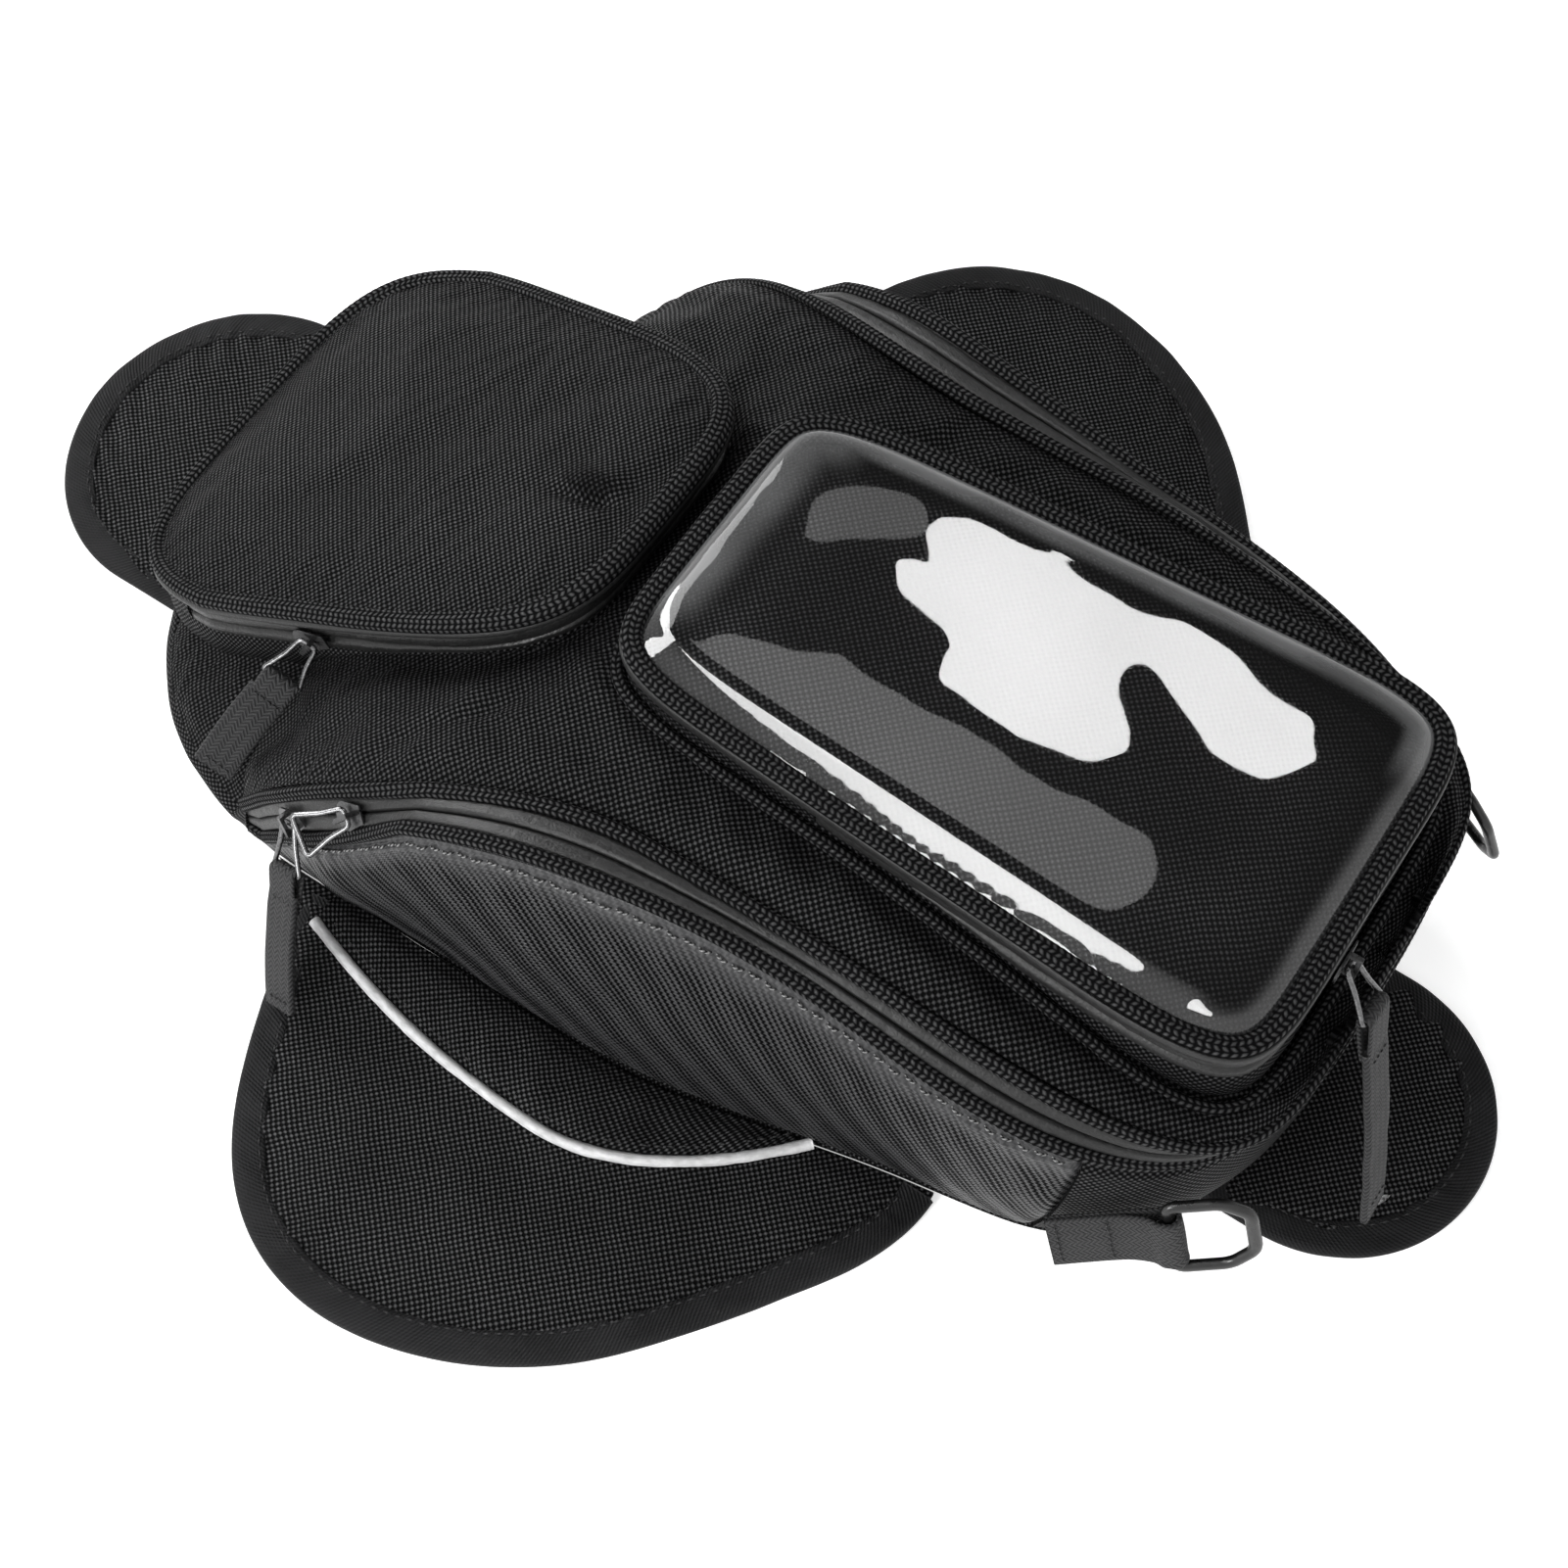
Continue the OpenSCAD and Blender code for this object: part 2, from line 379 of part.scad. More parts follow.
front_slider_a = 0.352;
rear_slider_a = 0.395;
function zip_point(a, h) = lifted(function (q, v) band(q, v), a, 0.5, h);
function zip_dir(a) = unit(band(a + 0.01, 0.5) - band(a - 0.01, 0.5));
function zip_out(a) = normal_of(function (q, v) band(q, v), a, 0.5);
module on_zip(a) placed(zip_point(a, 0), zip_dir(a), zip_out(a)) children();
pivot_h = 3.7;
main_slider_front_p = zip_point(front_slider_a, pivot_h);
main_slider_rear_p = zip_point(rear_slider_a, pivot_h);
// Pivot axis of a puller that lies along d over fabric with normal n, and a direction swung square to it
function pivot_axis(d, n) = unit(cross(d, n));
function square_to(w, z) = unit(w - (w * z) * z);
module pulled(p, d, z) placed(p, square_to(d, z), cross(z, square_to(d, z))) children();
main_web_end = [-146, 61.5, 8.6];
main_dir = unit(main_web_end - main_slider_front_p);
main_axis = pivot_axis(main_dir, zip_out(front_slider_a));
main_wire_end = main_slider_front_p + puller_l * main_dir;
rear_dir = unit([-0.62, 0.62, -0.40]);
rear_axis = pivot_axis(rear_dir, zip_out(rear_slider_a));
module main_slider_front() on_zip(front_slider_a) slider_shape(bridge_turn(zip_dir(front_slider_a), zip_out(front_slider_a), main_dir));
module main_slider_rear() on_zip(rear_slider_a) slider_shape(bridge_turn(zip_dir(rear_slider_a), zip_out(rear_slider_a), rear_dir));
module main_puller_front() pulled(main_slider_front_p, main_dir, main_axis) puller_shape();
module main_puller_rear() pulled(main_slider_rear_p, rear_dir, rear_axis) puller_shape();
module main_pull_webbing() pulled(main_wire_end, main_web_end - main_wire_end, main_axis) pull_shape(norm(main_web_end - main_wire_end));

poc_slider_a = way(101, pocket_front, -pocket_rear);
function poc_side(a, h, dz) = let (q = poc_in(a, 2.2 - h)) [q[0], q[1], z_poc(q[1]) + dz];
poc_t = unit(poc_side(poc_slider_a + 0.01, 0, 0) - poc_side(poc_slider_a - 0.01, 0, 0));
poc_n = unit(cross(poc_t, [0, 0.447, 0.894]));
poc_out = poc_n[0] < 0 ? poc_n : -poc_n;
poc_p = poc_side(poc_slider_a, 0, -12);
poc_pivot = poc_p + poc_out * pivot_h;
poc_web_end = [-103, 116, 32];
poc_dir = unit(poc_web_end - poc_pivot);
poc_axis = pivot_axis(poc_dir, poc_out);
poc_wire_end = poc_pivot + puller_l * poc_dir;
module pocket_slider() placed(poc_p, poc_t, poc_out) slider_shape(bridge_turn(poc_t, poc_out, poc_dir));
module pocket_puller() pulled(poc_pivot, poc_dir, poc_axis) puller_shape();
module pocket_pull_webbing() pulled(poc_wire_end, poc_dir, poc_axis) pull_shape(36);

window_slider_x = -14;
window_slider_z = window_z - 4 - zip_h + 0.15;
win_p = [window_slider_x, -window_rear + 1.0, window_slider_z];
win_pivot = win_p - [0, pivot_h, 0];
win_dir = unit([-0.2, -0.68, -0.72]);
module window_slider() placed(win_p, [1, 0, 0], [0, -1, 0]) slider_shape(bridge_turn([1, 0, 0], [0, -1, 0], win_dir));
win_axis = pivot_axis(win_dir, [0, -1, 0]);
win_wire_end = win_pivot + puller_l * win_dir;
win_web_end = [-33, -229, 34];
module window_puller() pulled(win_pivot, win_dir, win_axis) puller_shape();
module window_pull_webbing() pulled(win_wire_end, win_web_end - win_wire_end, win_axis) pull_shape(62);

base_panel();
base_foam();
base_board();
tub_lining();
left_side_panel();
right_side_panel();
nose_panel();
rear_panel();
lower_binding();
main_zip_lower_tape();
left_strap_tab();
right_strap_tab();
left_strap_ring();
right_strap_ring();
lid_top_panel();
lid_lining();
lid_binding();
main_zip_upper_tape();
window_gusset();
window_zip_lower_tape();
window_pane_front();
window_frame_front();
front_pocket_gusset();
pocket_zip_lower_tape();
window_pane();
window_frame();
window_zip_upper_tape();
front_pocket_top();
front_pocket_binding();
pocket_zip_upper_tape();
left_flap();
left_flap_lining();
left_flap_binding();
left_flap_magnets();
left_flap_piping();
right_flap();
right_flap_lining();
right_flap_binding();
right_flap_magnets();
right_flap_piping();
front_flap();
front_flap_lining();
front_flap_binding();
front_flap_magnets();
rear_flap();
rear_flap_lining();
rear_flap_binding();
rear_flap_magnets();
main_slider_front();
main_puller_front();
main_pull_webbing();
main_slider_rear();
main_puller_rear();
pocket_slider();
pocket_puller();
pocket_pull_webbing();
window_slider();
window_puller();
window_pull_webbing();
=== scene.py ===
"""Looks of a soft motorcycle tank bag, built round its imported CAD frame."""
import json
import math
import bpy
import numpy as np
from mathutils import Matrix, Vector


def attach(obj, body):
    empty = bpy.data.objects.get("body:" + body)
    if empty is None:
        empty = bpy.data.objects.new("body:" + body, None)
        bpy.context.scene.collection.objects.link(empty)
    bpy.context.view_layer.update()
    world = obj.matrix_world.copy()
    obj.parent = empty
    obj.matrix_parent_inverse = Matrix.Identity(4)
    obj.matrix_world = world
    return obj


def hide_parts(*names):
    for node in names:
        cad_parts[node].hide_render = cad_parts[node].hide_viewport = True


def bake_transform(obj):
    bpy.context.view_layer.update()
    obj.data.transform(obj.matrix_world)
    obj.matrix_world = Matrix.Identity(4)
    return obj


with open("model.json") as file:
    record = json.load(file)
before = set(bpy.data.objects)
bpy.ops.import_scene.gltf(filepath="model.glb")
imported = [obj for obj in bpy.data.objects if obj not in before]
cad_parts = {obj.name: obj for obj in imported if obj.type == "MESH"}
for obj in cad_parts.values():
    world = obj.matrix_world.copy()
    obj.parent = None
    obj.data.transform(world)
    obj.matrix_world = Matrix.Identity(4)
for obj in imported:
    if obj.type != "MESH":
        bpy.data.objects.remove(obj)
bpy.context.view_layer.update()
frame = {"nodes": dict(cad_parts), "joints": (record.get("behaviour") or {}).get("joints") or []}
nodes = frame["nodes"]
pi, sin, cos, exp, sqrt = np.pi, np.sin, np.cos, np.exp, np.sqrt
rng = np.random.default_rng(7)

# ------------------------------------------------------------------ the bag's surfaces, in millimetres


def sm(a, b, x):
    t = np.clip((np.asarray(x, float) - a) / (b - a), 0, 1)
    return t * t * (3 - 2 * t)


def mix(a, b, t):
    return a + (b - a) * t


def round_off(y, c, l, n):
    return np.maximum(0, 1 - np.minimum(1, np.abs(y - c) / l) ** n) ** (1 / n)


BASE_W, BASE_RW, BASE_R, NOSE = 106.0, 85.0, 189.0, 185.0
RIM_W, RIM_FW, RIM_Z, RIM_RZ, RIM_R = 80.0, 105.5, 106.5, 90.0, 200.5
LOW_W, LOW_FW, FZL, FZU, BULGE = 91.5, 110.0, 9.0, 13.5, 5.0
ZIP_A = 0.298


def w_base(y):
    y = np.asarray(y, float)
    return np.where(y > 85, BASE_W * round_off(y, 85, NOSE - 85, 2.3),
                    mix(BASE_RW, BASE_W, sm(-145, -15, y)) * np.where(y < -110, round_off(y, -110, BASE_R - 110, 3), 1))


def w_low(y):
    y = np.asarray(y, float)
    return mix(LOW_W, LOW_FW, sm(-90, 60, y)) * (1 - 0.032 * sm(60, 100, y)) * np.where(
        y > 85, round_off(y, 85, NOSE - 86, 2.3), np.where(y < -100, round_off(y, -100, RIM_R - 99.3, 3), 1))


def w_up(y):
    y = np.asarray(y, float)
    return mix(RIM_W, RIM_FW, sm(-30, 90, y)) * np.where(
        y > 85, round_off(y, 85, NOSE - 87, 2.3), np.where(y < 0, round_off(y, 0, RIM_R, 6), 1))


def z_low(y):
    t = np.clip((np.asarray(y, float) + 20) / 118, 0, 1)
    d = t ** 2.2 + 0.1 * sin(pi * np.clip((t - 0.45) / 0.55, 0, 1))
    return mix(RIM_RZ - 14, RIM_Z + 0.5, sm(-215, -30, y)) - (RIM_Z - FZL + 0.5) * d


def z_rear(y):
    return mix(RIM_RZ, RIM_Z, sm(-215, -75, y))


def z_up(y):
    t = np.clip((np.asarray(y, float) + 25) / 135, 0, 1)
    return z_rear(y) - (RIM_Z - FZU) * (0.65 * t ** 1.9 + 0.35 * t ** 6)


def z_mid(y):
    y = np.asarray(y, float)
    a = z_rear(y) + 6 * sm(-199, -140, y)
    b = 105 - 0.5 * (y - 20)
    q = (a + b - sqrt((a - b) ** 2 + 64)) / 2
    t = np.maximum(0, (y - 110) / (NOSE - 112))
    return FZU + (q - FZU) * sqrt(np.maximum(0, 1 - np.minimum(1, t) ** 4))


def z_lid(x, y):
    v = np.clip(y, -RIM_R + 0.3, NOSE - 3)
    w = np.maximum(1, w_up(v))
    t = np.minimum(1, np.abs(x) / w)
    return z_up(v) + (z_mid(v) - z_up(v)) * (1 - t ** 2.4)


def wrap(a):
    return a - 2 * np.floor(np.asarray(a, float) / 2)


def along(a):
    b = wrap(a)
    return np.where(b <= 1, b, 2 - b)


def hand(a):
    return np.where(wrap(a) <= 1, -1.0, 1.0)


def y_at(a, f, r):
    return f - (f + r) * (1 - cos(pi * along(a))) / 2


def V3(*c):
    return np.stack(np.broadcast_arrays(*[np.asarray(q, float) for q in c]), -1)


def p_base(a):
    y = y_at(a, NOSE, BASE_R)
    return V3(hand(a) * w_base(y), y, 3.0)


def p_low(a):
    y = y_at(a, NOSE - 1, RIM_R + 0.7)
    return V3(hand(a) * w_low(y), y, z_low(y))


def p_up(a):
    y = y_at(a, NOSE - 2, RIM_R)
    return V3(hand(a) * w_up(y), y, z_up(y))


def unit(v):
    v = np.asarray(v, float)
    return v / np.maximum(1e-9, np.linalg.norm(v, axis=-1, keepdims=True))


def dot(a, b):
    return (np.asarray(a) * np.asarray(b)).sum(-1)


def flat_normal(a):
    d = p_base(np.asarray(a) + 0.004) - p_base(np.asarray(a) - 0.004)
    return unit(V3(d[..., 1], -d[..., 0], 0))


def wall(a, v):
    a, v = np.broadcast_arrays(np.asarray(a, float), np.asarray(v, float))
    b, d = p_base(a), p_low(a)
    n = flat_normal(a)
    k = BULGE * sm(9, 60, d[..., 2]) * sin(pi * np.clip(v, 0, 1))
    s = np.where(dot(n[..., :2], b[..., :2]) > 0, 1.0, -1.0)
    return b + (d - b) * v[..., None] + n * (k * s)[..., None]


def band(a, v):
    a, v = np.broadcast_arrays(np.asarray(a, float), np.asarray(v, float))
    d, u = p_low(a), p_up(a)
    return d + (u - d) * v[..., None]


def normal_of(f, a, v):
    e = 0.004
    n = unit(np.cross(f(a + e, v) - f(a - e, v), f(a, v + 0.02) - f(a, v - 0.02)))
    p = f(a, v)
    s = n[..., 0] * p[..., 0] + n[..., 1] * (p[..., 1] + 10) + n[..., 2] * 60
    return np.where((s > 0)[..., None], n, -n)


WIN_W, WIN_F, WIN_R, WIN_Z, WIN_FOLD = 61.0, 11.0, 192.0, 122.0, -62.0
POC_W, POC_F, POC_R, POC_Z, POC_S = 73.0, 184.0, 20.0, 130.0, 0.5


def win_half(y):
    return (WIN_W - 0.06 * (y + 150)) * round_off(y, (WIN_F - WIN_R) / 2, (WIN_F + WIN_R) / 2, 7)


def p_win(a):
    y = y_at(a, WIN_F, WIN_R)
    return V3(hand(a) * win_half(y), y, 0.0)


def poc_half(y):
    return (POC_W - 0.17 * np.maximum(0, 140 - y)) * round_off(y, (POC_F + POC_R) / 2, (POC_F - POC_R) / 2, 4)


def p_poc(a):
    y = y_at(a, POC_F, -POC_R)
    return V3(hand(a) * poc_half(y), y, 0.0)


def z_poc(y):
    return POC_Z - POC_S * y


def flap_rad(q):
    return (96 + 19 * exp(-((q - 66) / 34) ** 2) + 6 * exp(-(q / 25) ** 2)
            - 7 * exp(-((q - 142) / 25) ** 2) + 9 * sm(155, 190, q))


# ------------------------------------------------------------------ noise and curves


def value_noise(p, scale, seed):
    """Smooth noise of points p (..., 3) in -1..1, repeatable for a seed."""
    q = np.asarray(p, float) / scale + 100.0
    i = np.floor(q).astype(np.int64)
    f = q - i
    f = f * f * (3 - 2 * f)
    out = 0.0
    for dx in (0, 1):
        for dy in (0, 1):
            for dz in (0, 1):
                c = i + np.array([dx, dy, dz])
                h = (c[..., 0] * 374761393 + c[..., 1] * 668265263 + c[..., 2] * 2147483647 + seed * 974711) & 0x7fffffff
                h = (h ^ (h >> 13)) * 1274126177 & 0x7fffffff
                h = (h ^ (h >> 16)) & 0xffff
                w = (f[..., 0] if dx else 1 - f[..., 0]) * (f[..., 1] if dy else 1 - f[..., 1]) * (f[..., 2] if dz else 1 - f[..., 2])
                out = out + w * (h / 32767.5 - 1)
    return out


def noise2(p, scale, seed):
    return 0.65 * value_noise(p, scale, seed) + 0.35 * value_noise(p, scale * 0.45, seed + 11)


def even(path, step=None, n=None, closed=False):
    """Points spaced evenly along a polyline."""
    p = np.asarray(path, float)
    if closed:
        p = np.vstack([p, p[:1]])
    l = np.concatenate([[0], np.cumsum(np.linalg.norm(np.diff(p, axis=0), axis=1))])
    if n is None:
        n = max(4, int(round(l[-1] / step)))
    s = np.linspace(0, l[-1], n + 1)
    if closed:
        s = s[:-1]
    return np.stack([np.interp(s, l, p[:, k]) for k in range(p.shape[1])], 1)


def tangents(p, closed=False):
    if closed:
        return unit(np.roll(p, -1, 0) - np.roll(p, 1, 0))
    return unit(np.gradient(p, axis=0))


def lengths(p, axis=0):
    d = np.linalg.norm(np.diff(p, axis=axis), axis=-1)
    z = np.zeros_like(np.take(d, [0], axis=axis))
    return np.concatenate([z, np.cumsum(d, axis=axis)], axis=axis)


# ------------------------------------------------------------------ mesh building


def build(name, co, quads, uv, mat, smooth=True):
    me = bpy.data.meshes.new(name)
    co = np.asarray(co, float).reshape(-1, 3)
    quads = np.asarray(quads, np.int32).reshape(-1, 4)
    me.vertices.add(len(co))
    me.vertices.foreach_set("co", (co * 0.001).astype(np.float32).ravel())
    me.loops.add(quads.size)
    me.loops.foreach_set("vertex_index", quads.ravel())
    me.polygons.add(len(quads))
    me.polygons.foreach_set("loop_start", np.arange(0, quads.size, 4, dtype=np.int32))
    me.update(calc_edges=True)
    layer = me.uv_layers.new(name="UVMap")
    layer.data.foreach_set("uv", np.asarray(uv, np.float32).reshape(-1, 2).ravel())
    me.validate()
    me.polygons.foreach_set("use_smooth", np.full(len(me.polygons), smooth))
    me.materials.append(mat)
    o = bpy.data.objects.new(name, me)
    bpy.context.scene.collection.objects.link(o)
    return o


def grid(P, uv=None, cu=False, cv=False):
    """Vertices, quads and corner UVs of a grid (n, m, 3). UVs are in millimetres."""
    n, m = P.shape[:2]
    if uv is None:
        Q = np.concatenate([P, P[:1]], 0) if cu else P
        Q = np.concatenate([Q, Q[:, :1]], 1) if cv else Q
        lu = lengths(Q, 0).mean(1)[:, None] + 0 * Q[..., 0]
        lv = lengths(Q, 1)
        uv = np.stack([lu, lv - lv[:, -1:] / 2], -1)
    I = np.arange(n if cu else n - 1)
    J = np.arange(m if cv else m - 1)
    i, j = np.meshgrid(I, J, indexing="ij")
    q = np.stack([i * m + j, ((i + 1) % n) * m + j, ((i + 1) % n) * m + (j + 1) % m, i * m + (j + 1) % m], -1)
    c = np.stack([uv[i, j], uv[i + 1, j], uv[i + 1, j + 1], uv[i, j + 1]], -2)
    return P.reshape(-1, 3), q.reshape(-1, 4), c.reshape(-1, 4, 2)


def grid_normals(P, cu=False, cv=False):
    du = (np.roll(P, -1, 0) - np.roll(P, 1, 0)) if cu else np.gradient(P, axis=0)
    dv = (np.roll(P, -1, 1) - np.roll(P, 1, 1)) if cv else np.gradient(P, axis=1)
    return unit(np.cross(du, dv))


def sheet(name, P, mat, cu=False, uv=None, up=None):
    """An open grid as a mesh sheet. up: rough outward direction, to set the winding."""
    n = grid_normals(P, cu)
    if up is not None:
        u = up if callable(up) is False else up(P)
        if float(dot(n, u).mean()) < 0:
            P = P[:, ::-1]
            uv = uv[:, ::-1] if uv is not None else None
    return build(name, *grid(P, uv, cu), mat)


def skin(name, S, mat, closed=False, u0=0.0):
    """Closed skin over sections S (n, k, 3), each a closed loop; ends are capped with quads (k even)."""
    n, k = S.shape[:2]
    co, q, c = grid(S, None, closed, True)
    if not closed:
        h = k // 2
        caps = []
        for e, flip in ((0, True), ((n - 1) * k, False)):
            for j in range(h - 1):
                f = [e + j, e + j + 1, e + k - 2 - j, e + k - 1 - j]
                caps.append(f[::-1] if flip else f)
        caps = np.array(caps)
        cu = np.zeros((len(caps), 4, 2))
        cu[:, :, 0] = co[caps][..., 0]
        cu[:, :, 1] = co[caps][..., 2]
        q = np.concatenate([q, caps]); c = np.concatenate([c, cu])
    t = co[q]
    vol = dot(t[:, 0], np.cross(t[:, 1], t[:, 2])).sum() + dot(t[:, 0], np.cross(t[:, 2], t[:, 3])).sum()
    if vol < 0:
        q = q[:, ::-1]; c = c[:, ::-1]
    c = c.copy(); c[..., 0] += u0
    return build(name, co, q, c, mat)


def sweep(path, side, up, profile, closed=False, wobble=None):
    """Sections (n, k, 3): profile (k, 2) in (side, up) along a path."""
    s = side[:, None, :] * profile[..., 0][..., None] if profile.ndim == 3 else side[:, None, :] * profile[None, :, 0, None]
    u = up[:, None, :] * profile[..., 1][..., None] if profile.ndim == 3 else up[:, None, :] * profile[None, :, 1, None]
    return path[:, None, :] + s + u


def tube(path, r, k=12, closed=False, up=None, fx=1.0, fy=1.0):
    path = np.asarray(path, float)
    t = tangents(path, closed)
    if up is None:
        up = np.tile([0.0, 0, 1.0], (len(path), 1))
        bad = np.abs(dot(t, up)) > 0.97
        up[bad] = [1.0, 0, 0]
    up = unit(up - t * dot(t, up)[:, None])
    side = np.cross(t, up)
    a = np.linspace(0, 2 * pi, k, endpoint=False)
    prof = np.stack([cos(a) * fx, sin(a) * fy], 1)
    if np.ndim(r) == 0:
        return sweep(path, side, up, prof * r)
    return sweep(path, side, up, prof[None] * np.asarray(r)[:, None, None])


def joined(name, parts, mat):
    """One mesh from several (co, quads, uv)."""
    off, C, Q, U = 0, [], [], []
    for co, q, u in parts:
        C.append(co); Q.append(q + off); U.append(u); off += len(co)
    return build(name, np.vstack(C), np.vstack(Q), np.concatenate(U), mat)


def closed_tube(S, closed=False):
    """Grid of a tube with end caps drawn in to a point ring, oriented outwards."""
    if not closed:
        c0, c1 = S[0].mean(0), S[-1].mean(0)
        S = np.concatenate([[c0 + (S[0] - c0) * 0.02], [c0 + (S[0] - c0) * 0.8], S, [c1 + (S[-1] - c1) * 0.8], [c1 + (S[-1] - c1) * 0.02]])
    co, q, c = grid(S, None, closed, True)
    t = co[q]
    cen = co.mean(0)
    vol = dot(t[:, 0] - cen, np.cross(t[:, 1] - cen, t[:, 2] - cen)).sum() + dot(t[:, 0] - cen, np.cross(t[:, 2] - cen, t[:, 3] - cen)).sum()
    if vol < 0:
        q = q[:, ::-1]; c = c[:, ::-1]
    return co, q, c


def stitches(name, path, up, body, length=3.0, gap=1.1, r=0.32, lift=0.15, mat=None, sag=0.25):
    """A run of thread stitches, each a small bent capsule lying on the fabric."""
    l = lengths(path)[-1]
    n = int(l / (length + gap))
    if n < 1:
        return None
    s = lengths(path)
    parts = []
    rr = np.random.default_rng(len(path) + n)
    for i in range(n):
        c = (i + 0.5) * (length + gap)
        ss = np.linspace(c - length / 2, c + length / 2, 7)
        p = np.stack([np.interp(ss, s, path[:, k]) for k in range(3)], 1)
        u = unit(np.stack([np.interp(ss, s, up[:, k]) for k in range(3)], 1))
        h = lift + sag * sin(pi * np.linspace(0, 1, 7)) ** 0.6 - 0.35 * (1 - sin(pi * np.linspace(0, 1, 7)) ** 0.6)
        w = unit(np.cross(p[-1] - p[0], u[3]))
        p = p + u * h[:, None] + w * (rr.uniform(-0.12, 0.12) + np.linspace(-0.16, 0.16, 7)[:, None])
        rad = r * np.array([0.35, 0.85, 1, 1, 1, 0.85, 0.35])
        parts.append(closed_tube(tube(p, rad, 6, up=u)))
    o = joined(name, parts, mat)
    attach(o, body)
    return o


def apply_mods(o):
    bpy.context.view_layer.update()
    dg = bpy.context.evaluated_depsgraph_get()
    me = bpy.data.meshes.new_from_object(o.evaluated_get(dg))
    o.modifiers.clear()
    old = o.data
    o.data = me
    bpy.data.meshes.remove(old)
    me.polygons.foreach_set("use_smooth", np.full(len(me.polygons), True))
    return o


def subdiv(o, levels=1):
    m = o.modifiers.new("sub", "SUBSURF"); m.levels = m.render_levels = levels
    m.uv_smooth = "PRESERVE_BOUNDARIES"
    return o


def solid(o, t, offset=-1.0):
    m = o.modifiers.new("thick", "SOLIDIFY"); m.thickness = t * 0.001; m.offset = offset
    m.use_even_offset = False
    return o


def coords(o):
    c = np.zeros(len(o.data.vertices) * 3, np.float32)
    o.data.vertices.foreach_get("co", c)
    return c.reshape(-1, 3).astype(float) * 1000


def set_coords(o, c):
    o.data.vertices.foreach_set("co", (np.asarray(c) * 0.001).astype(np.float32).ravel())
    o.data.update()


def simulate(o, pin, cap=4.0, pressure=0.0, grow=0.01, frames=16, stiff=12.0, bend=0.6, gravity=0.0):
    """Cloth on a sheet: pin is 0..1 per vertex; the result is capped and applied."""
    sc = bpy.context.scene
    g = o.vertex_groups.new(name="pin")
    for w in np.unique(np.round(pin, 2)):
        if w > 0:
            g.add([int(i) for i in np.nonzero(np.round(pin, 2) == w)[0]], float(w), "REPLACE")
    before = coords(o)
    m = o.modifiers.new("cloth", "CLOTH")
    st = m.settings
    st.quality = 6
    st.mass = 0.25
    st.tension_stiffness = st.compression_stiffness = stiff
    st.shear_stiffness = stiff * 0.5
    st.bending_stiffness = bend
    st.air_damping = 2.0
    st.vertex_group_mass = "pin"
    st.shrink_min = st.shrink_max = -grow
    if pressure:
        st.use_pressure = True
        st.uniform_pressure_force = pressure
    st.effector_weights.gravity = gravity
    m.collision_settings.use_collision = False
    m.collision_settings.use_self_collision = False
    m.point_cache.frame_start, m.point_cache.frame_end = 1, frames
    for f in range(1, frames + 1):
        sc.frame_set(f)
    dg = bpy.context.evaluated_depsgraph_get()
    e = o.evaluated_get(dg)
    me = e.to_mesh()
    after = np.zeros(len(me.vertices) * 3, np.float32)
    me.vertices.foreach_get("co", after)
    after = after.reshape(-1, 3).astype(float) * 1000
    e.to_mesh_clear()
    o.modifiers.remove(m)
    o.vertex_groups.clear()
    sc.frame_set(1)
    d = after - before
    ln = np.linalg.norm(d, axis=1, keepdims=True)
    if not np.isfinite(ln).all():
        return o
    d = d * np.minimum(1, cap / np.maximum(ln, 1e-6))
    set_coords(o, before + d)
    return o


# ------------------------------------------------------------------ materials


